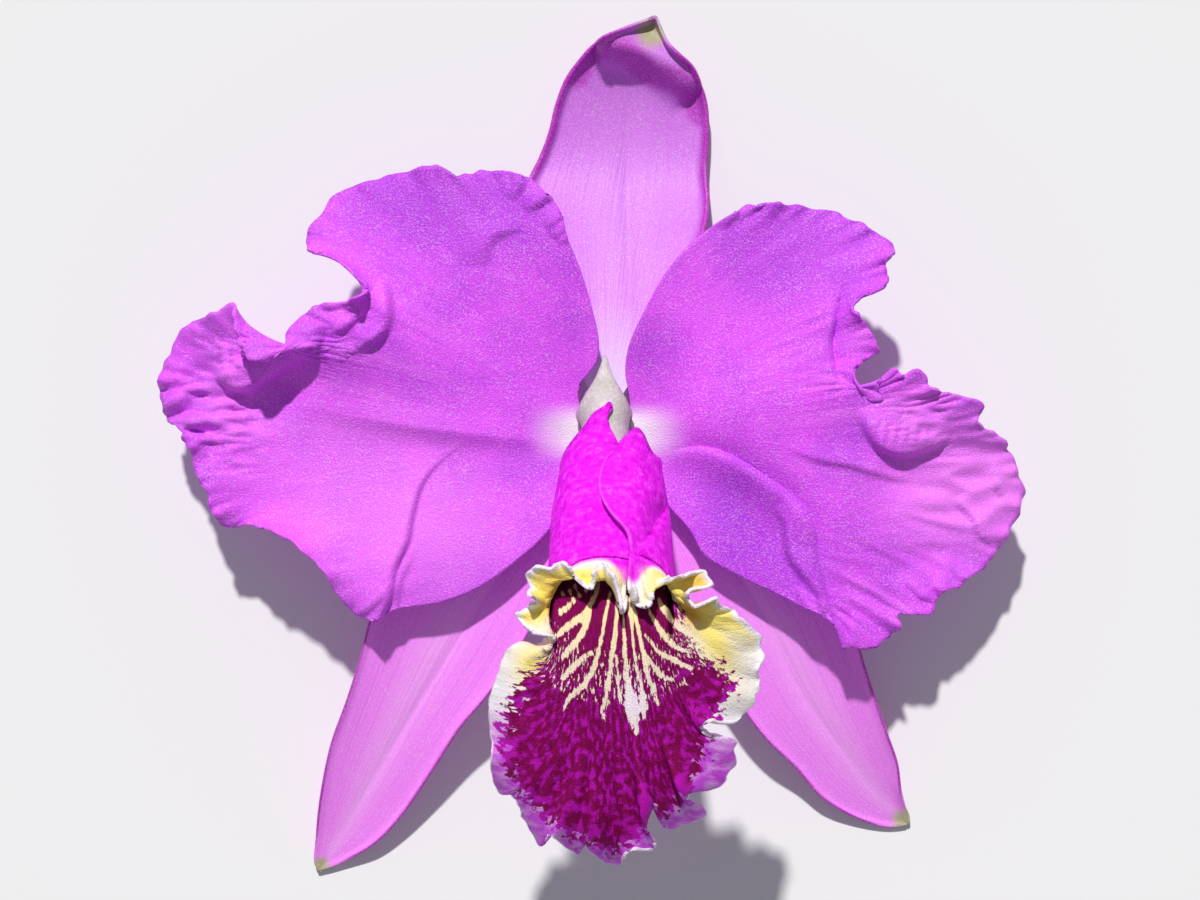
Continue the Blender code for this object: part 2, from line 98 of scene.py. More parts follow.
def stretch(foot, side_a, margin, side_b, steps, spread=0.13):
    """Tissue held by its four edges, with rows from the foot to the margin, drawn smooth.

    Each side runs from the foot to the margin and lists only its points between them. A wave of the
    margin fades toward the foot, the more slowly the smaller spread is.
    """
    side_a = [foot[0], *side_a, margin[0]]
    side_b = [foot[-1], *side_b, margin[-1]]
    net = None
    for coarseness, rounds in ((8, 600), (4, 80), (2, 50), (1, 30)):
        columns, rows = steps[0] // coarseness + 1, steps[1] // coarseness + 1
        edges = (smooth_path(foot, columns), smooth_path(side_a, rows),
                 smooth_path(margin, columns), smooth_path(side_b, rows))
        if net is None:
            t = np.linspace(0.0, 1.0, rows)[:, None, None]
            s = np.linspace(0.0, 1.0, columns)[None, :, None]
            net = (edges[0][None] * (1 - t) + edges[2][None] * t
                   + edges[1][:, None] * (1 - s) + edges[3][:, None] * s
                   - edges[0][0] * (1 - s) * (1 - t) - edges[0][-1] * s * (1 - t)
                   - edges[2][0] * (1 - s) * t - edges[2][-1] * s * t)
        else:
            net = double(net)
        net[0], net[:, 0], net[-1], net[:, -1] = edges
        across = spread * ((columns - 1) / (rows - 1)) ** 2
        for _ in range(rounds):
            along = net[2:, 1:-1] + net[:-2, 1:-1]
            beside = net[1:-1, 2:] + net[1:-1, :-2]
            net[1:-1, 1:-1] = (along + across * beside) / (2.0 + 2.0 * across)
    return net


def nearest_on(net, line):
    """For each place on the blade: its distance from a line, its side of it, and the line's height there."""
    line = smooth_path(line, 4 * len(line))
    best = np.full(net.shape[:2], np.inf)
    side = np.zeros(net.shape[:2])
    value = np.zeros(net.shape[:2])
    for start, end in zip(line[:-1], line[1:]):
        step = end[:2] - start[:2]
        offset = net[..., :2] - start[:2]
        share = np.clip((offset @ step) / (step @ step), 0.0, 1.0)
        distance = np.linalg.norm(offset - share[..., None] * step, axis=-1)
        nearer = distance < best
        best = np.where(nearer, distance, best)
        side = np.where(nearer, step[0] * offset[..., 1] - step[1] * offset[..., 0], side)
        value = np.where(nearer, start[2] + share * (end[2] - start[2]), value)
    return best, side, value


def fold(net, line, left, right, sharpness=1.5, where=1.0):
    """Raises the tissue along a line of x, y and height, each side falling off over its own width."""
    distance, side, height = nearest_on(net, line)
    width = np.where(side > 0.0, left, right)
    net[..., 2] += where * height * np.exp(-(distance / width) ** sharpness)


def resample(values, count):
    """So many rows, smoothly between the given ones."""
    return through(np.linspace(0.0, len(values) - 1.0, count), np.arange(len(values)), values)


def ripples(net, chance, across, along):
    """A smooth random swell over the blade, -1 to 1, with so many bumps across it and along it."""
    coarse = chance.uniform(-1.0, 1.0, (along + 2, across + 2))
    return resample(resample(coarse, net.shape[0]).T, net.shape[1]).T


def edge_distance(net):
    """How far each place lies from the margin along its own vein, in mm."""
    steps = np.linalg.norm(np.diff(net, axis=0), axis=2)
    toward_margin = np.cumsum(steps[::-1], axis=0)[::-1]
    return np.vstack([toward_margin, np.zeros((1, net.shape[1]))])


def foot_distance(net):
    """How far each place lies from the bloom's centre, in mm."""
    return np.linalg.norm(net, axis=2)


def crinkle(net, chance, bumps, lift, pull, reach):
    """Small frills of the margin, which fade inward over the reach in mm."""
    fade = np.exp(-edge_distance(net) / reach)
    outward = net[-1] - net[-8]
    outward /= np.linalg.norm(outward, axis=1)[:, None]
    for count in bumps:
        share = (bumps[0] / count) ** 0.6
        net[..., 2] += lift * share * fade * ripples(net, chance, count, 3)
        net += (pull * share * fade * ripples(net, chance, count, 1))[..., None] * outward[None]


def wrinkle(net, chance, across, along, height, where):
    """Creases of crumpled tissue, sharp where the swell changes its side."""
    net[..., 2] += height * where * (0.5 - abs(ripples(net, chance, across, along)) * 1.3)


def near(net, x, y, reach):
    """1 at the place and fading away from it, over the reach in mm."""
    return np.exp(-((net[..., 0] - x) ** 2 + (net[..., 1] - y) ** 2) / reach**2)


def ruffle(net, seed, bumps, swells, creases):
    """Frills the margin, swells the outer blade and crumples it: bumps, height, place and reach."""
    chance = np.random.default_rng(seed)
    crinkle(net, chance, bumps, 0.9, 0.55, 3.0)
    outer = np.exp(-edge_distance(net) / 9.0)
    net[..., 2] += 0.6 * outer * ripples(net, chance, swells, 9)
    for across, along, height, x, y, reach in creases:
        wrinkle(net, chance, across, along, height, near(net, x, y, reach))


def vertex_places(thing):
    flat = np.empty(len(thing.data.vertices) * 3)
    thing.data.vertices.foreach_get("co", flat)
    return flat.reshape(-1, 3)


def add_blade(name, net, marks, *materials):
    """Lays a grid over the net, writes the marks on it and gives it its thickness.

    The first material is the one of the back, the last one that of the side that faces up.
    """
    rows, columns = net.shape[0] - 1, net.shape[1] - 1
    bpy.ops.object.select_all(action="DESELECT")
    bpy.ops.mesh.primitive_grid_add(x_subdivisions=columns, y_subdivisions=rows, size=2.0)
    blade = bpy.context.object
    blade.name = blade.data.name = name
    flat = vertex_places(blade)
    column = np.rint((flat[:, 0] + 1.0) / 2.0 * columns).astype(int)
    row = np.rint((flat[:, 1] + 1.0) / 2.0 * rows).astype(int)
    place = (net[row, column] + BLOOM_CENTRE) * MM
    blade.data.vertices.foreach_set("co", place.ravel())
    for mark, values in marks.items():
        attribute = blade.data.attributes.new(mark, "FLOAT", "POINT")
        attribute.data.foreach_set("value", np.clip(values, -MARK_LIMIT, MARK_LIMIT)[row, column])
    for material in materials:
        blade.data.materials.append(material)
    bpy.ops.object.modifier_add(type="TRIANGULATE")
    blade.modifiers[-1].quad_method = "FIXED"
    bpy.ops.object.modifier_add(type="SOLIDIFY")
    blade.modifiers[-1].thickness = BLADE_THICKNESS * MM
    blade.modifiers[-1].offset = 0.0
    blade.modifiers[-1].material_offset = len(materials) - 1
    for modifier in [m.name for m in blade.modifiers]:
        bpy.ops.object.modifier_apply(modifier=modifier)
    bpy.ops.object.shade_smooth()
    return blade


net = stretch(
    foot=[(-5.9, 2.4, 1.2), (-5.6, -0.4, 1.5), (-5.7, -3.2, 1.2)],
    side_a=[
        (-7, 5, 1.6), (-5.6, 9, 2.4), (-2.6, 12.8, 3.2), (-1.9, 17, 4), (-3.3, 24, 5), (-5.9, 32.4, 6),
        (-8.4, 38.7, 6), (-10.3, 45, 5)],
    margin=[
        (-15.3, 50.4, 4.5), (-22.6, 52.9, 4), (-30.5, 51.8, 2), (-37, 53.8, 3), (-47.7, 51.4, 0.5),
        (-57.5, 47.2, 0), (-62.5, 40, 1.5), (-62, 36.2, 4), (-57, 34.8, 6), (-52, 30.6, 9),
        (-49.2, 27.8, 10.5), (-52.5, 25.6, 9.5), (-58, 25, 8), (-62.5, 23.2, 7), (-65.5, 18.8, 7.5),
        (-68.4, 13.9, 9), (-72.5, 13.2, 10.5), (-76.3, 17.4, 10.5), (-77.4, 21.5, 9.5), (-77.4, 25, 7.5),
        (-81.5, 23.3, 5), (-87.6, 20.8, 1), (-92.1, 15.5, -2), (-94.3, 8, -3.5), (-93.2, 2.1, -4),
        (-89.3, -1.5, -1), (-87.6, -6, -2), (-85.4, -12.5, -1), (-82.5, -18.2, -2), (-79.6, -21.2, -4),
        (-74.4, -20.6, 2.5), (-67.5, -23.2, 6), (-60.8, -28.4, 6), (-57.2, -34, 4), (-54.2, -38.5, 1),
        (-48.7, -41.2, 1)],
    side_b=[
        (-8, -12, 2.2), (-11.7, -21, 3), (-18.5, -27.8, 3), (-27.2, -34, 2), (-35, -37, 1.5),
        (-44.5, -38.6, 1)],
    steps=PETAL_STEPS)
# The upper ruffle, thrown forward over a deep pocket
fold(net, [
    (-81.5, 13, 0), (-79.9, 9.7, 3.2), (-77, 8.1, 4.8), (-73.3, 9.1, 4.4), (-69.6, 11.6, 3.4),
    (-66.7, 13.4, 2.8), (-61.7, 15.9, 2.2), (-59.7, 19, 1.2), (-59, 23.1, 0)], 9.0, 1.0, 2.0)
fold(net, [(-77, 2, 0), (-73, 4.5, -2), (-66, 9, -2), (-60, 13, 0)], 5.0, 4.0, 2.0)
# The rolled edge of the notch, and the folds beside it
fold(net, [
    (-52, 15.7, 0.8), (-50, 17.1, 2.4), (-47.9, 18.4, 3), (-46.2, 20.6, 2.8), (-45.8, 24.4, 2.4),
    (-46.4, 27.9, 1.4), (-47.3, 30.1, 0)], 3.0, 0.8)
fold(net, [(-56.8, 18.8, 0), (-55.1, 20, 1.6), (-52.6, 21.9, 1.8), (-50.8, 25, 1.4)], 2.5, 0.7)
fold(net, [(-54.3, 23.9, 0), (-52.8, 24.6, 1), (-51.2, 26.2, 1.2)], 2.0, 0.6)
# The long crease to the lower corner, with its pleats
fold(net, [
    (-47.9, -40, 2.4), (-46, -36.3, 2.6), (-44.8, -29.7, 2.4), (-42.3, -24.2, 2.4),
    (-41.1, -18.2, 2), (-39.2, -12.2, 1.3), (-35.5, -7.6, 0.5), (-28.5, -2.5, 0)], 5.0, 0.55)
for line in (
        [(-44.4, -38.6, 0.9), (-43.6, -32.6, 1), (-41.7, -28.5, 0.5), (-39.8, -24.8, 0)],
        [(-50.8, -38.8, 1), (-47.7, -36.1, 0.9), (-46, -33.4, 0)]):
    fold(net, line, 3.0, 0.6)
# The channel beside the middle vein
fold(net, [
    (-65.6, 4.7, 0), (-53.3, 2.1, 1), (-38.8, -0.4, 1.8), (-26.4, -1.9, 1.6), (-16.1, -3.1, 0.8),
    (-9.9, -4.1, 0)], 6.0, 2.5)
# A dimple high on the blade, and short pleats of the upper margin
fold(net, [
    (-25, 33.2, 0), (-25.2, 36.5, 1), (-23.9, 39, 1.3), (-20.6, 40.5, 0.9), (-17.3, 41.1, 0)], 4.0, 0.8)
for line in (
        [(-20.6, 46.7, 0), (-19.2, 48.1, 0.9), (-17.8, 50, 1.2)],
        [(-17.1, 44.2, 0), (-15.3, 45.4, 1.3), (-12.6, 47.1, 1.8)],
        [(-13, 40.9, 0), (-11.6, 41.7, 1.1), (-9.9, 43.1, 1.4)],
        [(-12, 38.8, 0), (-10.5, 39.6, 0.9), (-8.7, 40.9, 1.2)],
        [(-10.3, 37.4, 0), (-9.3, 38, 0.7), (-8.1, 38.8, 1)]):
    fold(net, line, 2.0, 0.5)
# Small folds of the crumpled tip
for line in (
        [(-91.9, 12.2, 0.8), (-90.4, 10.1, 1.2), (-89, 8.9, 1.2), (-87.1, 9.1, 1), (-85.3, 9.9, 0)],
        [(-92.9, 7.6, 0.8), (-90.8, 6.2, 1), (-88.6, 5.4, 0)],
        [(-91.7, 4.7, 0.8), (-90, 4.1, 0.9), (-87.9, 3.5, 0)],
        [(-88.4, -0.4, 0.9), (-86.3, 0.4, 1.2), (-83, 0.8, 0.9), (-79.7, -0.4, 0)],
        [(-87.1, -4.3, 1.2), (-85.3, -3.7, 1.2), (-83, -4.5, 0)],
        [(-80.3, 16.5, 1.4), (-80.3, 13.8, 1.6), (-79.7, 10.9, 1), (-77.6, 9.5, 0)],
        [(-78, 16.3, 1.2), (-77.8, 13.4, 1.2), (-77.6, 10.7, 0)],
        [(-85, -9.3, 0.8), (-83, -9.1, 0.6), (-81.3, -9.5, 0)]):
    fold(net, line, 1.8, 0.5)
ruffle(net, 11, (70, 150), 64, [
    (60, 16, 3.0, -88, 3, 12.0), (120, 30, 1.3, -88, 3, 12.0), (80, 20, 0.8, -61, 20, 7.0)])
petal_left_net = net

net = stretch(
    foot=[(5, -3, 1.2), (4.7, -0.3, 1.5), (4.8, 2.4, 1.2)],
    side_a=[
        (8.2, -10, 2.2), (11.9, -16, 3.2), (17.1, -22, 3.5), (20, -27, 3), (27.6, -31.6, 2.5),
        (34, -34.6, 2), (40, -37.6, 2.5), (46.4, -41, 2.5)],
    margin=[
        (48.9, -46.8, 2), (54.8, -46, 2), (60.4, -42.6, 2), (60.6, -40, 3), (66.8, -39.2, 2),
        (69, -36.4, 0), (73.4, -33.3, 0), (80.5, -28, -3), (84.6, -21.8, -3), (87, -14, -4),
        (85, -7, -2.5), (82.5, -2.9, 0), (76.8, 0.5, 3.5), (78, 3.6, 5), (73, 6, 6.5), (69.2, 6.9, 7.5),
        (66.6, 8.2, 8.5), (63.6, 11.3, 9), (60.6, 9.8, 8.5), (58.8, 11.3, 8.5), (56.3, 9.4, 7.5),
        (56.8, 5.8, 6.5), (54.2, 5, 6), (52.2, 7.2, 6.5), (50.4, 10.6, 7), (53.8, 13.8, 5.5),
        (56.5, 15.6, 4.5), (53.7, 21, 6.5), (50.4, 23.3, 7.5), (51.2, 25.8, 7), (55.8, 27.8, 5),
        (58.3, 30, 4), (57.6, 33.4, 3.5), (59.5, 36.2, 3), (56, 40.5, 1), (51, 43, 1), (43, 45.2, 2),
        (35, 46, 3), (28.6, 45.4, 4)],
    side_b=[
        (4.5, 6, 1.8), (3.6, 10.5, 2.6), (4.2, 16, 3.6), (6.7, 21.9, 4.5), (11.9, 31.4, 5),
        (17.1, 37.6, 5), (23.4, 42.4, 4.5)],
    steps=PETAL_STEPS)
# The upper ruffle, a flap that stands over a hollow, and the turned-up edge above it
fold(net, [
    (52.4, 3.5, 0), (53.7, 0, 2.2), (56.1, -3.7, 3.2), (59.5, -5.4, 3.4), (64, -5, 3), (68.5, -3.3, 1.8),
    (71.6, -1, 0)], 8.0, 0.9, 2.0)
fold(net, [(55.5, -8, 0), (60, -10, -1), (66, -9, -0.8), (70, -6, 0)], 4.0, 4.0, 2.0)
for x_pleat in (56.5, 58.6, 60.8, 63.0, 65.2):
    fold(net, [(x_pleat, -4.6, 0), (x_pleat + 0.4, -2, 0.5), (x_pleat + 0.6, 1, 0)], 0.5, 0.5)
fold(net, [
    (48.1, 25.5, -0.8), (47.8, 23.5, -1.6), (47.3, 20.6, -2.4), (46.7, 16.9, -2.6), (47.1, 13.4, -2.4),
    (47.5, 10.3, -1.4), (49, 7, 0)], 2.4, 0.7)
# The long step that bends down from the middle vein. Below it the blade falls off, with a second crease
fold(net, [
    (8, -3, 0), (20, -4.4, 3.4), (30, -8.7, 4.4), (36, -12.9, 4.6), (41, -17.3, 4.6), (43.6, -22, 4.2),
    (44.2, -28, 3.2), (46, -40, 1)], 24.0, 5.5, 1.8)
fold(net, [
    (12.4, -5.6, 0), (18.4, -4.3, -1.1), (24.4, -5.6, -1.7), (29.9, -8.5, -1.8), (35.9, -12.8, -1.7),
    (40.9, -17.1, -1.6), (43.3, -21.3, -1.5), (43.6, -26.2, -1.4), (44.6, -32.2, -1.3), (46.2, -38.6, -1.2)],
    2.4, 0.9, 1.3)
fold(net, [
    (35.1, -16.5, 0), (37.2, -20.6, 1.6), (37.8, -26.2, 2), (40.3, -30.3, 1.8), (43.3, -34.1, 1.6),
    (45.8, -40.7, 1.2)], 4.0, 0.7)
fold(net, [
    (36.5, -4.3, 0), (43.3, -6.8, 0.8), (50, -8.1, 1), (59, -10.7, 0.8), (63.2, -11.6, 0)], 3.0, 0.8)
for line in (
        [(72.7, -15.1, 0), (73.7, -16.5, 1.4), (76.6, -19.4, 1.4), (77.8, -22.5, 1.2), (80.7, -25, 0.8)],
        [(79.5, -6.2, 0), (80.3, -9.3, 0.8), (81.1, -12.8, 1), (83.6, -15.7, 0.8)],
        [(60.3, -31.2, 0), (62.8, -33.2, 1.2), (65.6, -35.7, 1.6)],
        [(69.4, -26.4, 0), (69.8, -29.9, 1), (69.2, -34.1, 1.4)],
        [(39.2, -33.6, 0), (40.5, -36.5, 1), (42.5, -39, 1.2), (44.6, -40.7, 0)],
        [(50.6, -39.2, 0), (50.8, -41.9, 0.9), (50.6, -45.4, 1)],
        [(23.5, 40.7, 0), (24.8, 42.3, 0.8), (26.2, 43.8, 1)]):
    fold(net, line, 2.2, 0.6)
ruffle(net, 12, (74, 150), 60, [
    (56, 11, 2.0, 79, -16, 12.0), (80, 20, 0.8, 68, 3, 8.0), (60, 8, 0.8, 58, -40, 13.0)])
petal_right_net = net


def effect_group(name, inputs, outputs):
    """An empty shader node group with the named sockets."""
    group = bpy.data.node_groups.new(name, "ShaderNodeTree")
    for label, kind, value in inputs:
        socket = group.interface.new_socket(name=label, in_out="INPUT", socket_type=kind)
        if value is not None:
            socket.default_value = value
    for label, kind in outputs:
        group.interface.new_socket(name=label, in_out="OUTPUT", socket_type=kind)
    return group, group.nodes.new("NodeGroupInput"), group.nodes.new("NodeGroupOutput")


def add_node(tree, kind, links=(), **settings):
    """A node with its settings, and its inputs linked or set by name or number."""
    node = tree.nodes.new(kind)
    for label, value in settings.items():
        setattr(node, label, value)
    for socket, value in dict(links).items():
        if isinstance(value, bpy.types.NodeSocket):
            tree.links.new(value, node.inputs[socket])
        else:
            node.inputs[socket].default_value = value
    return node


def mark(tree, name):
    return add_node(tree, "ShaderNodeAttribute", attribute_name=name).outputs["Fac"]


def object_place(tree):
    return add_node(tree, "ShaderNodeTexCoord").outputs["Object"]


# The helpers below take their tree from the socket they are given
def arithmetic(operation, first, second):
    return add_node(first.id_data, "ShaderNodeMath", {0: first, 1: second}, operation=operation).outputs[0]


def product(first, second):
    return arithmetic("MULTIPLY", first, second)


def clamp_range(value, low, high, to_low=0.0, to_high=1.0):
    return add_node(
        value.id_data, "ShaderNodeMapRange",
        {"Value": value, "From Min": low, "From Max": high, "To Min": to_low, "To Max": to_high},
        interpolation_type="SMOOTHSTEP").outputs["Result"]


def noise(place, scale, detail, roughness=0.5):
    """A cloudy value about 0.5 at each place."""
    settings = {"Vector": place, "Scale": scale, "Detail": detail, "Roughness": roughness}
    return add_node(place.id_data, "ShaderNodeTexNoise", settings).outputs["Fac"]


def coats(colour, *layers):
    """Colours laid over one another, each given as its share, a socket, and its colour."""
    for share, coat in layers:
        first, second = (
            value if isinstance(value, bpy.types.NodeSocket) else (*value, 1.0) for value in (colour, coat))
        node = add_node(
            share.id_data, "ShaderNodeMix", {0: share, 6: first, 7: second}, data_type="RGBA")
        colour = node.outputs[2]
    return colour


# Crystal grain: the surface cells of an orchid's tissue are domed and throw the light back in points. The
# Sparkle output paints these glints into the colour as painted highlights; the Height output is the grain's
# relief.
grain_and_glint_group, grain_in, grain_out = effect_group(
    "Crystal grain and glints",
    [("Grain per m", "NodeSocketFloat", 3000.0)],
    [("Sparkle", "NodeSocketFloat"), ("Height", "NodeSocketFloat")])
grain_place = object_place(grain_and_glint_group)
fine = noise(grain_place, grain_in.outputs["Grain per m"], 1.0, 0.6)
patches = noise(grain_place, 160.0, 2.0)
bright_points = clamp_range(fine, 0.45, 0.75)
patchy = clamp_range(patches, 0.3, 0.7, 0.6, 1.0)
grain_and_glint_group.links.new(product(bright_points, patchy), grain_out.inputs["Sparkle"])
grain_and_glint_group.links.new(fine, grain_out.inputs["Height"])

# Vein streaks: fine lines of tissue that fan out from the foot of an organ to its margin
streak_group, streak_in, streak_out = effect_group(
    "Vein streaks",
    [("Lines across", "NodeSocketFloat", 90.0), ("Waver along", "NodeSocketFloat", 3.0)],
    [("Streak", "NodeSocketFloat"), ("Broad", "NodeSocketFloat")])
streak_uv = add_node(streak_group, "ShaderNodeUVMap", uv_map="UVMap").outputs["UV"]
streak_axes = add_node(streak_group, "ShaderNodeSeparateXYZ", {0: streak_uv})
streak_place = add_node(streak_group, "ShaderNodeCombineXYZ", {
    "X": product(streak_axes.outputs["X"], streak_in.outputs["Lines across"]),
    "Y": product(streak_axes.outputs["Y"], streak_in.outputs["Waver along"])}).outputs[0]
streak_group.links.new(noise(streak_place, 1.0, 3.0, 0.65), streak_out.inputs["Streak"])
streak_group.links.new(noise(streak_place, 0.16, 2.0), streak_out.inputs["Broad"])


def use_group(tree, group, **values):
    """The group's outputs, with its inputs set by name."""
    node = add_node(tree, "ShaderNodeGroup", node_tree=group)
    for label, value in values.items():
        node.inputs[label.replace("_", " ")].default_value = value
    return node.outputs


def tissue_shader(name, roughness, sheen=0.0, specular=0.3):
    """A material whose constant shader values are set on its own sockets."""
    material = bpy.data.materials.new(name)
    material.use_nodes = True
    shader = material.node_tree.nodes["Principled BSDF"]
    for socket, value in (
            ("Roughness", roughness), ("Specular IOR Level", specular),
            ("Sheen Weight", sheen), ("Sheen Roughness", 0.4)):
        shader.inputs[socket].default_value = value
    return material, material.node_tree, shader


def finish_tissue(shader, colour, height, distance, strength):
    """Gives the shader its colour and the fine relief of the tissue."""
    tree = colour.id_data
    bump = add_node(tree, "ShaderNodeBump", {"Height": height, "Distance": distance, "Strength": strength})
    tree.links.new(bump.outputs["Normal"], shader.inputs["Normal"])
    tree.links.new(colour, shader.inputs["Base Color"])


petal_material, tree, shader = tissue_shader("petal tissue", 0.55, 0.05)
grain = use_group(tree, grain_and_glint_group)
streaks = use_group(tree, streak_group, Lines_across=75.0, Waver_along=5.0)
clouds = noise(object_place(tree), 60.0, 5.0, 0.6)
open_mark = mark(tree, "open")
lines = product(clamp_range(streaks["Streak"], 0.45, 0.75, 0.0, 0.28), open_mark)
pale = product(clamp_range(streaks["Broad"], 0.45, 0.7, 0.0, 0.25), open_mark)
colour = coats(
    PETAL_BRIGHT,
    (clamp_range(clouds, 0.35, 0.7, 0.0, 0.6), PETAL_DEEP),
    (lines, PETAL_DEEP),
    (pale, PETAL_PALE),
    # the pale and deep marks: partly the tissue's own tone, partly painted light and painted shade on the
    # blade's slopes
    (product(mark(tree, "pale"), 0.55), PETAL_PALE),
    (product(mark(tree, "deep"), 0.6), PETAL_DEEP),
    (mark(tree, "claw"), CLAW_WHITE),
    # painted highlights: the glints of the crystal grain
    (product(grain["Sparkle"], 0.46), PETAL_SPARKLE))
relief = product(streaks["Streak"], product(open_mark, 0.35))
relief = arithmetic("ADD", relief, product(grain["Height"], 0.6))
finish_tissue(shader, colour, relief, 0.0005, 0.7)

# Each petal with its paler and its deeper places: x, y and reach. They are partly the tissue's own tone and
# partly painted light and painted shade.
for name, node, net, paler_and_lit_places, deeper_and_shaded_places in (
        ("left_petal_blade", "petal_left", petal_left_net,
         [(-54, -16, 20), (-34, -22, 14), (-79, 6, 9)], [(-24, 45, 14), (-42, 48, 10)]),
        ("right_petal_blade", "petal_right", petal_right_net,
         [(80, -12, 15), (80, -12, 12), (66, -16, 10), (64, 2, 7)],
         [(24, -16, 12), (36, -30, 12), (40, 42, 16)])):
    from_foot = foot_distance(net)
    blade = add_blade(name, net, {
        "claw": ease(19.0, 5.0, from_foot) * ease(7.5, 1.5, abs(net[..., 1] + 1.8)),
        "open": ease(12.0, 45.0, from_foot),
        "pale": sum(near(net, *place_and_reach) for place_and_reach in paler_and_lit_places),
        "deep": sum(near(net, *place_and_reach) for place_and_reach in deeper_and_shaded_places)}, petal_material)
    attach(blade, "root")
    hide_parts(node)


# Sepals: the three narrow outer blades, satin tissue paler along the middle vein. The upper one is
# arched back with its edges rolled forward and its tip thrown over as a hood; the two lower ones are
# sickle-shaped and fall away from the face.
SEPAL_STEPS = (72, 200)
SEPAL_SPREAD = 17.8
SEPAL_BASE = (0.97, 0.25, 1.0)
SEPAL_PALE = (0.98, 0.40, 1.0)
SEPAL_DUSKY = (0.58, 0.175, 0.72)
SEPAL_DUSKY_PALE = (0.66, 0.25, 0.80)
SEPAL_RIM_AND_SHADE = (0.50, 0.016, 0.50)
SEPAL_LINES = (0.72, 0.12, 0.88)
SEPAL_SPARKLE = (0.98, 0.80, 1.0)
FOOT_WHITE = (0.74, 0.62, 0.84)
TIP_OLIVE = (0.44, 0.42, 0.24)

dorsal_net = stretch(
    foot=[(-2.2, 4.9, -1.7), (0, 5, -1.8), (2.2, 4.9, -1.7)],
    side_a=[
        (-4.8, 9.4, -1.9), (-11.2, 24.2, -4), (-15.5, 37.3, -9.5), (-17.2, 47.2, -15.5), (-16.8, 52.7, -18.5),
        (-14.6, 57.5, -19.5), (-12.5, 63.1, -19.5), (-11.2, 68.4, -19), (-9, 74.1, -18), (-6.2, 78, -17),
        (-3.4, 80.9, -15.5), (0, 82.8, -14), (4.7, 84.9, -13.5)],
    margin=[(9.6, 86.9, -14.5), (10, 87.1, -14.6), (10.4, 86.9, -14.5)],
    side_b=[
        (5.7, 10.5, -2), (12.6, 22.1, -4), (17.4, 31.8, -7.5), (19.6, 38.9, -11), (21, 43.5, -14),
        (21.5, 48.4, -17), (21.1, 54.9, -19.2), (21.5, 62.4, -19.5), (21.3, 68.2, -19), (20, 73, -18),
        (18.2, 76.4, -16), (15.4, 78.6, -14.5), (12.8, 81.1, -14)],
    steps=SEPAL_STEPS, spread=SEPAL_SPREAD)
left_sepal_net = stretch(
    foot=[(-3.8, -2.2, -1), (-2.6, -3.5, -1), (-1.2, -4.2, -1)],
    side_a=[
        (-14.2, -7.3, -1.5), (-26.8, -13.6, -2.3), (-37.3, -21, -3), (-44.8, -28.4, -3.7),
        (-48.4, -34.7, -4.4), (-50.2, -41.1, -5.2), (-52.5, -49.7, -7), (-55.5, -58.7, -9.2),
        (-59, -68.1, -12), (-61.7, -80.3, -16), (-62.9, -89.3, -19.5), (-63.3, -94, -20.8)],
    margin=[(-62.6, -95.8, -21.3), (-62.2, -96.1, -21.3), (-61.8, -95.9, -21.3)],
    side_b=[
        (-4.2, -10, -1.2), (-8, -20, -1.8), (-11.2, -30.6, -2.8), (-15.4, -41, -4.2), (-20.3, -50, -6),
        (-25.4, -57.1, -7.6), (-31.3, -64.2, -9.5), (-37.9, -74.5, -13), (-44.6, -84.2, -16.5),
        (-50.1, -89.9, -18.5), (-56.6, -93.7, -20.5)],
    steps=SEPAL_STEPS, spread=SEPAL_SPREAD)
right_sepal_net = stretch(
    foot=[(1.2, -4.2, -1), (2.6, -3.5, -1), (3.8, -2.2, -1)],
    side_a=[
        (4.2, -10, -1.2), (8.4, -19.9, -1.8), (12.4, -30.4, -2.8), (17.4, -41, -4.2), (23.2, -50.6, -6.2),
        (28.4, -59.8, -9), (33.5, -66.6, -11.5), (39.9, -73, -14.5), (46, -79.9, -17.5), (53.2, -84.3, -20),
        (59.8, -86.4, -21.3)],
    margin=[(64.2, -86.2, -21.3), (64.9, -86, -21.3), (65.1, -85.3, -21.3)],
    side_b=[
        (15, -6.3, -1.5), (27.7, -11.5, -2.3), (40.3, -20, -3), (47.8, -30.5, -4.2), (51.5, -40.1, -6),
        (53.4, -47.7, -7.8), (56.3, -56.7, -10), (59.7, -66, -13), (62, -72.3, -15.5), (63.2, -79.5, -18.5),
        (64.7, -83.4, -20.8)],
    steps=SEPAL_STEPS, spread=SEPAL_SPREAD)


def side_distance(net):
    """How far each place lies from the nearer of the two long edges, in mm."""
    steps = np.linalg.norm(np.diff(net, axis=1), axis=2)
    from_left = np.hstack([np.zeros((net.shape[0], 1)), np.cumsum(steps, axis=1)])
    return np.minimum(from_left, from_left[:, -1:] - from_left)


def hollow(net, depth):
    """Sinks the middle of a blade between its two long edges."""
    rows, columns = net.shape[:2]
    along = np.sin(np.pi * np.linspace(0.0, 1.0, rows)) ** 0.7
    across = np.linspace(-1.0, 1.0, columns)
    net[..., 2] -= depth * along[:, None] * (1.0 - across**2)[None, :]


def roll_edges(net, height, width):
    """Lifts a narrow strip along both long edges, as where a sepal's edge turns forward."""
    rows = net.shape[0]
    along = ease(0.12, 0.35, np.linspace(0.0, 1.0, rows))[:, None]
    net[..., 2] += height * along * np.exp(-(side_distance(net) / width) ** 2)


for net, depth in ((dorsal_net, 2.15), (left_sepal_net, 1.2), (right_sepal_net, 1.2)):
    hollow(net, depth)
# The upper tip's hood
fold(dorsal_net, [(-3, 81, 0), (-1, 81, 5), (9, 79, 5), (17, 73, 4), (19, 71, 0)], 3.5, 3.5, 2.0)
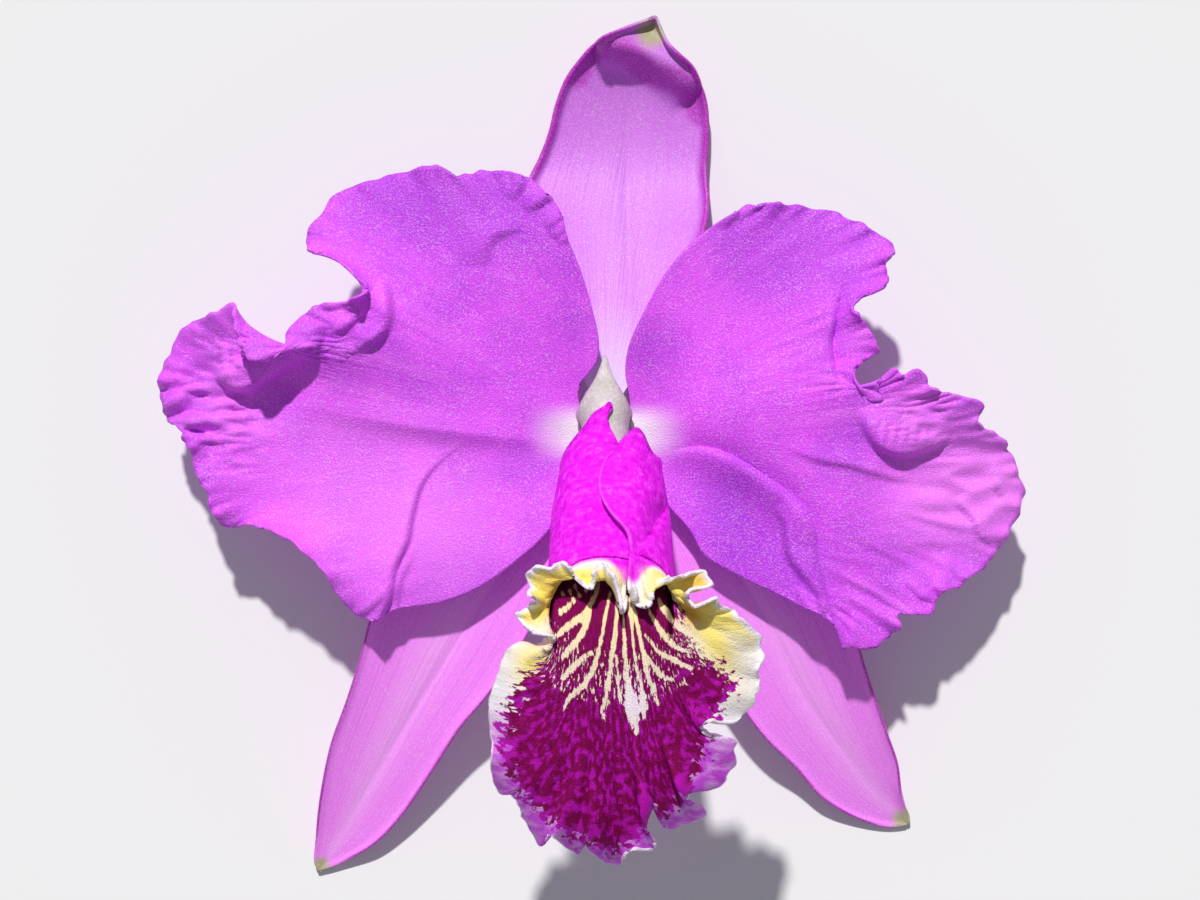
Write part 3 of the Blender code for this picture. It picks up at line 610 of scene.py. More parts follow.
# The groove along each middle vein, its width, and the height and width of the rolled edges
for net, groove, groove_width, roll_height, roll_width in (
        (dorsal_net, [(4.2, 5, -0.5), (4.6, 30, -0.6), (4.2, 60, -0.4), (5.5, 76, 0)], 1.6, 2.2, 1.1),
        (left_sepal_net, [(-6, -8, -0.3), (-25, -35, -0.5), (-42, -62, -0.5), (-60, -92, 0)], 1.4, 0.5, 1.0),
        (right_sepal_net, [(6, -8, -0.3), (30, -35, -0.5), (42, -58, -0.5), (61, -83, 0)], 1.4, 0.5, 1.0)):
    fold(net, groove, groove_width, groove_width)
    roll_edges(net, roll_height, roll_width)

sepal_material, tree, shader = tissue_shader("sepal satin", 0.42, 0.06)
grain = use_group(tree, grain_and_glint_group)
streaks = use_group(tree, streak_group, Lines_across=42.0, Waver_along=1.2)
colour = coats(
    SEPAL_BASE,
    (mark(tree, "middle"), SEPAL_PALE),
    (mark(tree, "dusk"), SEPAL_DUSKY),
    (mark(tree, "dusky middle"), SEPAL_DUSKY_PALE),
    (clamp_range(streaks["Streak"], 0.45, 0.75, 0.0, 0.3), SEPAL_LINES),
    (mark(tree, "white"), FOOT_WHITE),
    # painted shade: the dark band under the hood's overhang, in the rim colour
    (product(mark(tree, "painted_hood_shade"), 0.75), SEPAL_RIM_AND_SHADE),
    # the dark rim: partly the darker back of the edge that turns forward, partly painted shade beside the
    # rolled edge
    (mark(tree, "rim_and_shade"), SEPAL_RIM_AND_SHADE),
    (mark(tree, "apex"), TIP_OLIVE),
    # painted highlights: the glints of the crystal grain
    (product(grain["Sparkle"], 0.3), SEPAL_SPARKLE))
relief = arithmetic("ADD", streaks["Streak"], product(grain["Height"], 0.4))
finish_tissue(shader, colour, relief, 0.0003, 0.6)

for name, node, net, apex, apex_reach, rim_width, dusk in (
        ("upper_sepal_blade", "dorsal_sepal", dorsal_net, (9.2, 83.5), 4.6, 2.4, 0.9),
        ("left_sepal_blade", "sepal_left", left_sepal_net, (-62.0, -95.0), 3.2, 0.5, 0.0),
        ("right_sepal_blade", "sepal_right", right_sepal_net, (64.0, -85.0), 4.0, 0.5, 0.0)):
    across = np.linspace(-1.0, 1.0, net.shape[1])[None, :] * np.ones((net.shape[0], 1))
    along = np.linspace(0.0, 1.0, net.shape[0])[:, None]
    tip = np.hypot(net[..., 0] - apex[0], net[..., 1] - apex[1])
    blade = add_blade(name, net, {
        "middle": np.exp(-(across / 0.33) ** 2) * ease(0.0, 0.2, along) * 0.8,
        "dusk": np.full(net.shape[:2], dusk),
        "dusky middle": dusk * np.exp(-(across / 0.5) ** 2) * ease(0.6, 0.1, along),
        # painted shade: a band along the lower edge of the hood
        "painted_hood_shade": ease(3.4, 1.2, nearest_on(net, [
            (-6.5, 75, 0), (-4.9, 78, 0), (-1.7, 80.2, 0), (2.6, 80, 0), (6.8, 77.4, 0), (10, 75, 0),
            (14.3, 74, 0), (17.5, 71.4, 0), (19.6, 67, 0)])[0]),
        # dark rim, partly painted shade beside the rolled edge
        "rim_and_shade": ease(3.0, 9.0, tip) * np.maximum(
            ease(rim_width, 0.4 * rim_width, side_distance(net)) * ease(0.25, 0.4, along),
            0.25 * ease(78.5, 82.0, net[..., 1])),
        "white": ease(30.0, 6.0, foot_distance(net)),
        "apex": ease(apex_reach, 0.3 * apex_reach, tip)}, sepal_material)
    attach(blade, "root")
    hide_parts(node)


# Lip: the bloom's front petal. It grew as one blade whose two side lobes roll round the column into
# a velvety magenta tube, the right lobe over the left, and whose front lobe flares out into the frilled
# apron with its yellow throat, cream veins and crimson face.
LIP_COLUMNS, TUBE_ROWS, FLARE_ROWS = 560, 30, 56
HALF_TURN = np.sqrt(0.5)
TUBE_START = np.array([0.0, -1.5, 3.5])
TUBE_AXIS = np.array([0.0, -HALF_TURN, HALF_TURN])
TUBE_RIGHT = np.array([1.0, 0.0, 0.0])
TUBE_TOP = np.array([0.0, HALF_TURN, HALF_TURN])
TUBE_LENGTH = 56.0
MOUTH_RADIUS = 12.6
LIP_MAGENTA = (0.93, 0.022, 0.94)
LIP_DEEP = (0.70, 0.001, 0.70)
LIP_BRIGHT = (1.0, 0.13, 0.98)
LIP_CRIMSON = (0.20, 0.001, 0.068)
LIP_PURPLE = (0.46, 0.006, 0.40)
LIP_YELLOW = (0.97, 0.80, 0.20)
LIP_GOLD_AND_SHADE = (0.78, 0.42, 0.030)
LIP_CREAM = (0.98, 0.80, 0.42)
LIP_WHITE = (0.96, 0.92, 0.95)
LIP_LILAC = (0.62, 0.075, 0.74)
LIP_SPARKLE = (0.95, 0.18, 0.85)
VEIN_PALE = (0.95, 0.80, 0.60)
WEDGE_WHITE = (1.0, 0.86, 0.98)
MARGIN_PALE = (0.93, 0.82, 0.95)
LOBE_EDGE_PINK = (1.0, 0.20, 0.98)

# x, y, z and the angle round the tube, 0 below and 180 on top, from the left edge round to the right
lip_edge = smooth_path([
    (3.9, -32, 43.5, -205), (2.4, -36.3, 46, -195), (1, -30, 48.5, -186), (-1, -27.2, 48, -178),
    (-2.7, -29.1, 47, -170), (-3.7, -31.8, 48.5, -162), (-6.4, -29.9, 48.5, -154), (-8.3, -27.2, 47, -146),
    (-12.5, -28, 45, -137), (-15.3, -29, 45, -129), (-16.3, -32.2, 45, -122), (-14, -34.3, 46, -114),
    (-16.8, -36.6, 42, -106), (-17.6, -38.3, 40, -99), (-15.3, -40.6, 43, -92), (-11.6, -40.9, 47, -84),
    (-13, -43.2, 42, -76), (-18.3, -43.8, 38, -68), (-21.2, -47.6, 36, -60), (-22.9, -53.5, 34, -52),
    (-23.4, -60.5, 34, -45), (-23, -66.8, 36, -39), (-21.1, -72.9, 33, -33), (-18, -73.5, 36, -28),
    (-17.4, -77.2, 32, -24), (-13.4, -83.2, 33, -19), (-11.1, -80.6, 38, -15), (-6.5, -85.2, 33, -11),
    (-4.3, -82.4, 38, -7), (-1.6, -86.2, 34, -3), (1.8, -88, 30, 2), (3.8, -84.5, 37, 6),
    (9.2, -83.9, 33, 10), (7.5, -79, 39, 15), (9.2, -74.2, 41, 20), (11.9, -80.4, 34, 25),
    (16, -79, 32, 30), (19, -77, 33, 35), (15.2, -73.1, 41, 39), (22.6, -71.5, 35, 44),
    (25.2, -67.6, 34, 50), (24.9, -62.7, 36, 56), (20.4, -60.8, 40, 62), (19.2, -58, 43, 67),
    (25.2, -58.9, 36, 72), (29.5, -54.5, 36, 78), (30.7, -51.1, 35, 85), (29.7, -45.3, 38, 92),
    (27.9, -39.4, 40, 99), (24, -36.7, 43, 107), (20.5, -34.3, 45, 114), (16.6, -35.5, 47, 121),
    (15.1, -33, 48, 129), (18.4, -31.7, 46, 137), (17.9, -28.2, 46, 145), (14, -29.5, 47, 153),
    (11.6, -29.8, 47, 161), (9.1, -31.3, 48.5, 168), (8.4, -35.6, 48, 174), (6.2, -35.4, 47.5, 180),
    (4.3, -32, 48, 185)], LIP_COLUMNS)
lip_margin, lip_angle = lip_edge[:, :3], lip_edge[:, 3]


def round_tube(angle, along, radius):
    """Points on the lip's tube, and the way out from its axis at each."""
    turn = np.radians(angle)[:, None]
    outward = np.sin(turn) * TUBE_RIGHT - np.cos(turn) * TUBE_TOP
    centre = TUBE_START + TUBE_AXIS * along[:, None]
    return centre + outward * radius[:, None], outward


def even_out(line, reach):
    """The line without its waves shorter than the reach, its ends kept."""
    kernel = np.exp(-0.5 * (np.arange(-2 * reach, 2 * reach + 1) / reach) ** 2)
    padded = np.pad(line, ((2 * reach, 2 * reach), (0, 0)), mode="reflect", reflect_type="odd")
    return np.stack([np.convolve(axis, kernel / kernel.sum(), mode="valid") for axis in padded.T], axis=1)


side = abs(lip_angle)
rear_left = through(
    side, [0, 30, 60, 90, 115, 135, 160, 180, 190, 205], [0.4, 2.5, 7, 11, 11, 9.5, 6, 2.3, 4, 9])
rear_right = through(
    side, [0, 30, 60, 90, 115, 145, 158, 167, 185], [0.4, 2.5, 7, 11, 12, 13, 9.8, 9.3, 14.5])
rear = np.where(lip_angle < 0.0, rear_left, rear_right)
rear_radius = through(side, [0, 30, 60, 90, 205], [3.6, 6.5, 9, 10, 11])
front = through(side, [0, 60, 120, 205], [56, 53, 47, 46])
# The right lobe lies over the left one, and their free edges are bowed
spiral = lip_angle / 180.0
tube_share = 1.0 - (1.0 - np.arange(TUBE_ROWS) / TUBE_ROWS) ** 1.6
left_edge = through(tube_share, [0, 0.2, 0.5, 1.0], [183, 195, 205, 205])
right_edge = through(tube_share, [0, 0.13, 0.3, 0.54, 0.68, 0.82, 1.0], [166, 179, 187, 186, 178, 165, 162])
lip_rows = []
for row in range(TUBE_ROWS):
    share = tube_share[row]
    along = rear + (front - rear) * share
    radius = through(along / TUBE_LENGTH, [0, 0.15, 0.4, 0.7, 1], [4.2, 10.4, 11.6, 12.2, 13.2])
    radius += (rear_radius - radius) * ease(0.36, 0.0, share) + spiral
    left_pull = (left_edge[row] - 150.0) / (side[0] - 150.0)
    right_pull = (right_edge[row] - 90.0) / (side[-1] - 90.0)
    turned = np.where(lip_angle < -150.0, -150.0 + (lip_angle + 150.0) * left_pull, lip_angle)
    turned = np.where(lip_angle > 90.0, 90.0 + (lip_angle - 90.0) * right_pull, turned)
    lip_rows.append(round_tube(turned, along, radius)[0])
mouth, outward = round_tube(turned, front, MOUTH_RADIUS + 0.6 * np.cos(np.radians(lip_angle)) + spiral)
# Each vein leaves the mouth along the tube and arrives at the margin bent outward and back
low = ease(110.0, 20.0, side)[:, None]
leave = TUBE_AXIS * (9.0 + 26.0 * low)
arrive = outward * (11.0 + 14.0 * low) - TUBE_AXIS * (3.0 + 16.0 * low)
calm = even_out(lip_margin, 12)
for row in range(FLARE_ROWS + 1):
    t = row / FLARE_ROWS
    lip_rows.append(hermite(t, mouth, leave, calm, arrive) + t**3 * (lip_margin - calm))
lip_net = np.array(lip_rows)

flare = np.concatenate([tube_share - 1.0, np.linspace(0.0, 1.0, FLARE_ROWS + 1)])
flare = flare[:, None] * np.ones((1, LIP_COLUMNS))
angle = lip_angle[None, :] * np.ones((len(flare), 1))
x, y, z = lip_net[..., 0], lip_net[..., 1], lip_net[..., 2]
# The floor of the throat swells up to the frill, so that the mouth is nearly closed
floor_height = through(
    y, [-90, -82, -74, -66, -58, -50, -42, -37, -34, -31, -28, -24, -20, -14],
    [28, 35, 40, 43, 44.5, 45.5, 45.5, 44, 41, 35.5, 28.5, 19.5, 12, 2])
below = np.where(flare < -0.02, ease(80.0, 58.0, abs(angle)), ease(118.0, 88.0, abs(angle)))
below *= ease(1.0, 0.75, flare)
shortfall = floor_height - 0.012 * x**2 - z
z += below * (shortfall + np.sqrt(shortfall**2 + 4.0)) / 2.0
# The right lobe swells into a pouch, its free edge stands off, and a crease runs below it
on_top = ease(92.0, 115.0, abs(angle)) * ease(0.05, -0.1, flare)
on_right = on_top * (angle > 0.0)
z += 1.5 * on_right * np.exp(-((x - 5.3) / 5.0) ** 2 - ((y + 11.0) / 8.5) ** 2)
x -= 1.2 * on_right * ease(6.0, 11.0, x) * np.exp(-((y + 18.0) / 2.4) ** 2)
inward = np.linalg.norm(lip_net - lip_net[:, -1:], axis=2)
z += 0.5 * on_right * np.exp(-(inward / 1.2) ** 2)
fold(lip_net, [
    (12, -16.5, -1), (11.1, -17.6, -2), (8.3, -21.7, -2.4), (5.6, -24.7, -1.8), (4.6, -29, -0.5)],
    0.6, 2.4, where=on_right)
# The left lobe's apex is drawn out into a small hook
hooked = ease(0.6, 3.4, y) * (angle < -120.0)
x += 2.4 * hooked**2
y += 0.8 * hooked
# The frill of the front lobe, with its small and its broad waves
chance = np.random.default_rng(21)
frilled = ease(0.0, 0.6, flare)
crinkle(lip_net, chance, (64, 150, 260), 1.6, 1.25, 2.2)
z += frilled * np.exp(-edge_distance(lip_net) / 7.0) * ripples(lip_net, chance, 44, 6)
z += 0.35 * frilled * ripples(lip_net, chance, 90, 8)
from_edge = edge_distance(lip_net)


def blot(cx, cy, wide, high, turn=0.0):
    """A soft round patch on the lip's face, as seen from the front."""
    across, up = x - cx, y - cy
    c, s = np.cos(np.radians(turn)), np.sin(np.radians(turn))
    return np.exp(-((c * across + s * up) / wide) ** 2 - ((c * up - s * across) / high) ** 2)


# The crimson face: how deep each place lies inside its outline, in mm
outline_gap, outline_side, _ = nearest_on(lip_net, [
    (-10.4, -30.5, 0), (-9.6, -34, 0), (-8.3, -37.5, 0), (-9.4, -41, 0), (-12.3, -45, 0), (-16, -49, 0),
    (-18.8, -54, 0), (-20.6, -60, 0), (-20.4, -66, 0), (-17.3, -72, 0), (-12.8, -77, 0), (-6.5, -81.5, 0),
    (1.5, -84.5, 0), (7.5, -79.5, 0), (12, -76.5, 0), (15.5, -72.5, 0), (18, -66.5, 0), (20.3, -61, 0),
    (22, -56.5, 0), (24.6, -52.3, 0), (22.5, -48.3, 0), (17.5, -44.5, 0), (14.8, -40.5, 0), (14.2, -37, 0),
    (14.8, -33.5, 0), (13, -30.5, 0), (2, -27, 0), (-10.4, -30.5, 0)])
face = np.where(outline_side > 0.0, outline_gap, -outline_gap)
within = ease(122.0, 104.0, abs(angle))
face = np.where(flare < 0.0, -6.0 + 16.0 * within, face - 8.0 * (1.0 - within))
# The cream veins, from the throat down: x, y and half their width. Deep inside a vein the mark is above 0
vein = np.full(x.shape, -9.0)
for line in (
        [(-6, -31.7, 0.23), (-7.6, -33.3, 0.27), (-9.3, -33.8, 0.35)],
        [(-3.7, -32.5, 0.23), (-5.3, -33.8, 0.25), (-6.8, -35, 0.29), (-8.2, -36.4, 0.39),
         (-9.3, -37, 0.51)],
        [(-1.9, -31.1, 0.39), (-2.3, -33.3, 0.35), (-3.5, -35.6, 0.39), (-4.7, -37.5, 0.51),
         (-6.6, -38.7, 0.54), (-8.4, -40.1, 0.51), (-9.7, -41.4, 0.39)],
        [(-3.9, -37.5, 0.43), (-4.7, -40.1, 0.47), (-6, -42.2, 0.54), (-7.4, -43.8, 0.49),
         (-8.9, -45.5, 0.31)],
        [(0.4, -32.9, 0.31), (0, -35, 0.29), (-0.6, -37.5, 0.35), (-1, -40.1, 0.29), (-1.4, -42.2, 0.29),
         (-1.9, -44.2, 0.35), (-2.3, -46.1, 0.39), (-3.5, -48.6, 0.49), (-4.7, -50.8, 0.45),
         (-6.4, -52.3, 0.37), (-7.6, -53.7, 0.29), (-8.6, -55.4, 0.16)],
        [(-1.9, -44.2, 0.29), (-3.5, -44.7, 0.27), (-5.3, -45.9, 0.39), (-6.8, -47.5, 0.49),
         (-8.8, -49.4, 0.39)],
        [(1.6, -35, 0.27), (1.6, -37, 0.35), (1.4, -39.5, 0.39), (1.2, -41.4, 0.51), (1, -43, 0.54),
         (0.6, -45.1, 0.43), (0.4, -47.3, 0.43), (0.2, -49, 0.49), (-0.2, -51, 0.47), (-0.4, -52.5, 0.43),
         (-0.6, -54.1, 0.39), (-1.2, -56, 0.35), (-0.6, -57.6, 0.19)],
        [(1.4, -44.5, 0.18), (1.6, -46.7, 0.23), (1.9, -49.4, 0.29), (1.9, -51.9, 0.35),
         (2.3, -53.9, 0.39)],
        [(2.7, -36.4, 0.12), (2.9, -38.3, 0.18), (2.9, -40.1, 0.27), (3.1, -42.2, 0.35),
         (3.1, -44.5, 0.43), (3.3, -46.7, 0.47), (3.5, -48.8, 0.54), (3.9, -51.2, 0.75),
         (4.3, -53.3, 1.25), (4.6, -55.2, 1.7), (4.9, -57.4, 1.1), (5.4, -60.2, 0.3)],
        [(4.1, -34.8, 0.58), (4.3, -37, 0.54), (4.5, -39.5, 0.29), (4.7, -42, 0.25), (4.9, -44.2, 0.25),
         (5.3, -46.5, 0.27), (5.6, -49, 0.35), (6.2, -51.2, 0.43), (6.6, -53.3, 0.7), (6.7, -55.2, 0.75),
         (6.8, -57.6, 0.19)],
        [(4.5, -35.2, 0.35), (5.1, -37.5, 0.43), (5.6, -39.5, 0.35), (6, -41.4, 0.39), (6.4, -43.4, 0.43),
         (6.8, -45.1, 0.47), (7.2, -47.3, 0.51), (7.6, -49.4, 0.47), (8.4, -51.2, 0.47),
         (8.8, -53.1, 0.39), (9.5, -54.7, 0.23)],
        [(7.2, -45.1, 0.35), (8.6, -47.1, 0.39), (9.7, -48.6, 0.47), (11.1, -49.6, 0.39),
         (12.4, -50, 0.23)],
        [(6.8, -41, 0.25), (8, -42.4, 0.27), (9.3, -44.2, 0.31), (10.9, -45.3, 0.43), (12.6, -46.1, 0.51),
         (14.6, -47.1, 0.43), (16.3, -47.8, 0.31)],
        [(7.8, -36.4, 0.23), (8.2, -37.5, 0.29), (9.3, -39.1, 0.43), (10.3, -40.8, 0.58),
         (11.7, -42.4, 0.62), (13.2, -43.8, 0.47), (14.8, -44.3, 0.35), (16.1, -44.9, 0.19)],
        [(9.7, -34.4, 0.31), (10.3, -36, 0.49), (11.3, -37.1, 0.68), (12.4, -38.7, 0.68),
         (13.8, -39.9, 0.58), (15.2, -40.8, 0.49), (16.7, -41.4, 0.27)],
        [(10.5, -32.5, 0.18), (11.7, -33.5, 0.29), (13.4, -34.4, 0.51)]):
    gap, _, half_width = nearest_on(lip_net, line)
    vein = np.maximum(vein, half_width - gap + 0.14 * ease(0.0, -5.0, x))
from_throat = np.hypot(x - 1.6, y + 28.3)
top = ease(88.0, 102.0, abs(angle))
# Beside the free edge the magenta runs down to the frill
seam = top * np.exp(-((x - 4.6) / 3.0) ** 2)
yellow = (1.0 - seam) * top * ease(0.12, 0.35, flare) * ease(0.5, 1.8, from_edge)
yellow_patches = np.maximum(blot(20.5, -42, 4.2, 10, 24), blot(-14.5, -47, 4, 5))
yellow = np.maximum(yellow, ease(0.0, 0.1, flare) * yellow_patches)
# Deeper gold beside the throat's openings: partly the throat's own colour, partly painted shade of the
# hollows around them
gold_and_shade = np.maximum.reduce([
    0.7 * blot(-10.8, -35, 2.0, 7), 0.9 * blot(16.2, -37.2, 2.2, 3.2), 0.5 * blot(17, -31, 3, 3)])
lilac = ease(0.0, 12.0, np.where(angle < 0.0, 52.0, 64.0) - abs(angle)) * ease(0.3, 0.5, flare)
lip_marks = {
    "flare": flare - 0.4 * seam + 0.03 * ripples(lip_net, chance, 30, 5),
    "angle": angle / 20.0,
    "radius": from_throat / 10.0,
    "vein": vein,
    "face": face,
    "yellow": yellow,
    "gold_and_shade": gold_and_shade * ease(0.0, 0.15, flare),
    "wedge": blot(4.8, -54.5, 3.0, 5.0),
    "lilac": lilac,
    "edge": from_edge / 3.0,
    "lobe_edge": on_right * ease(0.5, 0.15, inward)}


def paint_lip(name, patterned_face):
    """The lip's tissue: its outer side, or its inner side with the veined and crimson face."""
    material, tree, shader = tissue_shader(name, 0.5, specular=0.06)
    grain = use_group(tree, grain_and_glint_group)
    streaks = use_group(tree, streak_group, Lines_across=150.0, Waver_along=5.0)
    radius_mark, edge_mark = mark(tree, "radius"), mark(tree, "edge")
    fan_place = add_node(tree, "ShaderNodeCombineXYZ", {
        "X": product(mark(tree, "angle"), 8.5), "Y": product(radius_mark, 5.0)}).outputs[0]
    mottle = noise(object_place(tree), 600.0, 4.0, 0.65)
    blotches = noise(fan_place, 0.95, 4.0)
    speckles = arithmetic("SUBTRACT", noise(fan_place, 1.2, 3.0, 0.6), 0.5)
    # Finely mottled magenta turns white and then yellow where the frill begins, and lilac toward the
    # rim of the front lobe
    colour = coats(
        LIP_MAGENTA,
        (clamp_range(mottle, 0.42, 0.66, 0.0, 0.8), LIP_DEEP),
        (clamp_range(mottle, 0.47, 0.32, 0.0, 0.6), LIP_BRIGHT),
        (clamp_range(mark(tree, "flare"), 0.0, 0.16), LIP_WHITE),
        (mark(tree, "yellow"), LIP_YELLOW),
        # gold beside the throat's openings, partly painted shade
        (mark(tree, "gold_and_shade"), LIP_GOLD_AND_SHADE),
        (product(mark(tree, "lilac"), clamp_range(blotches, 0.3, 0.6, 0.7, 1.0)), LIP_LILAC))
    if patterned_face:
        # Cream veins run out of the throat over crimson, grow ragged and break up into speckles
        raggedness = clamp_range(radius_mark, 0.8, 2.6, 0.4, 2.6)
        vein = arithmetic("ADD", mark(tree, "vein"), product(speckles, raggedness))
        zone = product(clamp_range(radius_mark, 1.0, 1.9), clamp_range(radius_mark, 3.0, 2.5))
        strewn = arithmetic("SUBTRACT", speckles, clamp_range(zone, 0.0, 1.0, 0.5, 0.09))
        vein = arithmetic("MAXIMUM", vein, product(strewn, 4.0))
        purple = arithmetic("ADD", blotches, clamp_range(edge_mark, 3.0, 0.8, 0.0, 0.14))
        purple = clamp_range(purple, 0.46, 0.64)
        purple = product(purple, clamp_range(radius_mark, 1.5, 3.2, 0.2, 1.0))
        light = coats(
            LIP_CREAM,
            (clamp_range(radius_mark, 0.9, 2.2), VEIN_PALE),
            (mark(tree, "wedge"), WEDGE_WHITE))
        face = coats(
            LIP_CRIMSON,
            (purple, LIP_PURPLE),
            (clamp_range(vein, -0.10, 0.12), light))
        inside = arithmetic("ADD", mark(tree, "face"), product(speckles, 15.0))
        colour = coats(colour, (clamp_range(inside, -0.4, 0.5), face))
    # The very edges are pale
    colour = coats(
        colour,
        (clamp_range(edge_mark, 0.19, 0.04, 0.0, 0.85), MARGIN_PALE),
        (product(mark(tree, "lobe_edge"), 0.35), LOBE_EDGE_PINK),
        # painted highlights: the glints of the crystal grain
        (product(grain["Sparkle"], 0.05), LIP_SPARKLE))
    relief = arithmetic("ADD", streaks["Streak"], product(grain["Height"], 0.5))
    finish_tissue(shader, colour, relief, 0.0005, 0.8)
    return material


lip_velvet, lip_face = paint_lip("lip velvet", False), paint_lip("lip face", True)
lip_blade = add_blade("lip_blade", lip_net, lip_marks, lip_velvet, lip_face)
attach(lip_blade, "root")
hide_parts("lip")


# Column: the pistil and stamens of an orchid, grown into one waxy, pale pillar; its grey-white colour is
# partly painted shade, for the shade it stands in between the petals. It stands on the seed vessel, shows as
# a blunt hump between the petals and runs out inside the lip's tube.
SHARP_EDGE = np.radians(50.0)
# the pillar's pale colour, greyed with painted shade
COLUMN_PALE_AND_SHADE = (0.60, 0.53, 0.55)
COLUMN_TAN = (0.46, 0.43, 0.36)
COLUMN_SPARKLE = (0.90, 0.86, 0.90)


def add_stalk(name, points, rings, roundness, rib_depth=0.0):
    """A closed round stem along a smooth path of x, y, z and radius, with six ribs near its start."""
    path = smooth_path(points, rings)
    bpy.ops.object.select_all(action="DESELECT")
    bpy.ops.mesh.primitive_cylinder_add(vertices=roundness, radius=1.0, depth=2.0, end_fill_type="TRIFAN")
    bpy.ops.object.mode_set(mode="EDIT")
    bpy.ops.mesh.select_mode(type="EDGE")
    bpy.ops.mesh.select_all(action="DESELECT")
    bpy.ops.object.mode_set(mode="OBJECT")
    stem = bpy.context.object
    stem.name = stem.data.name = name
    for edge in stem.data.edges:
        low, high = (stem.data.vertices[i].co for i in edge.vertices)
        edge.select = abs(low.z - high.z) > 1.0
    bpy.ops.object.mode_set(mode="EDIT")
    bpy.ops.mesh.subdivide(number_cuts=rings - 2, quadcorner="INNERVERT")
    bpy.ops.object.mode_set(mode="OBJECT")
    way = np.gradient(path[:, :3], axis=0)
    way /= np.linalg.norm(way, axis=1)[:, None]
    right = np.tile([1.0, 0.0, 0.0], (rings, 1))
    right -= (right * way).sum(axis=1)[:, None] * way
    right /= np.linalg.norm(right, axis=1)[:, None]
    front_way = np.cross(way, right)
    flat = vertex_places(stem)
    ring = np.rint((flat[:, 2] + 1.0) / 2.0 * (rings - 1)).astype(int)
    turn = np.arctan2(flat[:, 1], flat[:, 0])
    reach = np.hypot(flat[:, 0], flat[:, 1]) * path[ring, 3]
    ribbed = ease(0.75, 0.35, ring / (rings - 1)) * (0.5 - 0.5 * np.cos(6.0 * turn)) ** 2
    reach *= 1.0 - rib_depth * ribbed
    place = path[ring, :3] + right[ring] * (reach * np.cos(turn))[:, None]
    place += front_way[ring] * (reach * np.sin(turn))[:, None]
    return stem, place


def settle(stem, place):
    """Puts the vertices in their places, given in mm about the bloom's centre."""
    stem.data.vertices.foreach_set("co", ((place + BLOOM_CENTRE) * MM).ravel())
    stem.data.update()
    bpy.ops.object.shade_smooth_by_angle(angle=SHARP_EDGE)


column, place = add_stalk("column_pillar", [
    (0, 0.2, -1.8, 4.0), (0, 0.2, -0.9, 4.1), (-0.2, 0.8, 0.8, 4.4), (-0.6, 1.9, 2.6, 4.7),
    (-0.8, 2.6, 4.6, 5.9), (-0.8, 2.5, 6.4, 5.7), (-0.4, -2.2, 9.8, 4.5), (0, -7, 15, 4.2),
    (0, -12.5, 20.8, 4), (0, -16.5, 25.3, 3.4)], rings=90, roundness=160)
drawn = ease(-0.6, 2.0, place[:, 2]) * ease(9.0, 6.0, place[:, 2])
place[:, 1] += 0.95 * drawn * np.maximum(0.0, place[:, 1] - 2.4)
place[:, 0] += (-0.6 - place[:, 0]) * 0.75 * drawn * ease(2.0, 10.0, place[:, 1])
settle(column, place)

column_material, tree, shader = tissue_shader("column wax", 0.38)
grain = use_group(tree, grain_and_glint_group, Grain_per_m=1500.0)
clouds = noise(object_place(tree), 220.0, 3.0)
colour = coats(
    COLUMN_PALE_AND_SHADE,
    (clamp_range(clouds, 0.35, 0.7, 0.0, 0.6), COLUMN_TAN),
    # painted highlights: the glints of the crystal grain
    (product(grain["Sparkle"], 0.4), COLUMN_SPARKLE))
finish_tissue(shader, colour, arithmetic("ADD", clouds, grain["Height"]), 0.0003, 0.5)
column.data.materials.append(column_material)
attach(column, "root")
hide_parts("column")


# Anther cap: the small loose lid over the pollen at the column's tip. It is waxy and ivory, with a
# groove down its middle, and sits on its seat by two small edges.
CAP_SIZE = (3.0, 2.4, 1.6)
CAP_PLACE = np.array([0.0, -18.0, 26.8])
CAP_LEAN = np.radians(45.0)
CAP_IVORY = (0.86, 0.80, 0.62)
CAP_MAUVE = (0.72, 0.45, 0.62)
bpy.ops.object.select_all(action="DESELECT")
bpy.ops.mesh.primitive_uv_sphere_add(segments=64, ring_count=40, radius=1.0)
cap = bpy.context.object
cap.name = cap.data.name = "anther_lid"
flat = vertex_places(cap)
on_top = ease(-0.2, 0.5, flat[:, 2])
groove = 1.0 - 0.10 * np.exp(-(flat[:, 0] / 0.12) ** 2) * on_top
lobes = 1.0 - 0.05 * np.exp(-((abs(flat[:, 0]) - 0.55) / 0.1) ** 2) * on_top
flat = flat * np.array(CAP_SIZE) * (groove * lobes)[:, None]
turned = np.stack([
    flat[:, 0], np.cos(CAP_LEAN) * flat[:, 1] - np.sin(CAP_LEAN) * flat[:, 2],
    np.sin(CAP_LEAN) * flat[:, 1] + np.cos(CAP_LEAN) * flat[:, 2]], axis=1)
settle(cap, turned + CAP_PLACE)
cap_material, tree, shader = tissue_shader("anther ivory", 0.35)
clouds = noise(object_place(tree), 900.0, 3.0)
colour = coats(CAP_IVORY, (clamp_range(clouds, 0.4, 0.7), CAP_MAUVE))
finish_tissue(shader, colour, clouds, 0.0002, 0.4)
cap.data.materials.append(cap_material)
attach(cap, "root")
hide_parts("anther_cap")


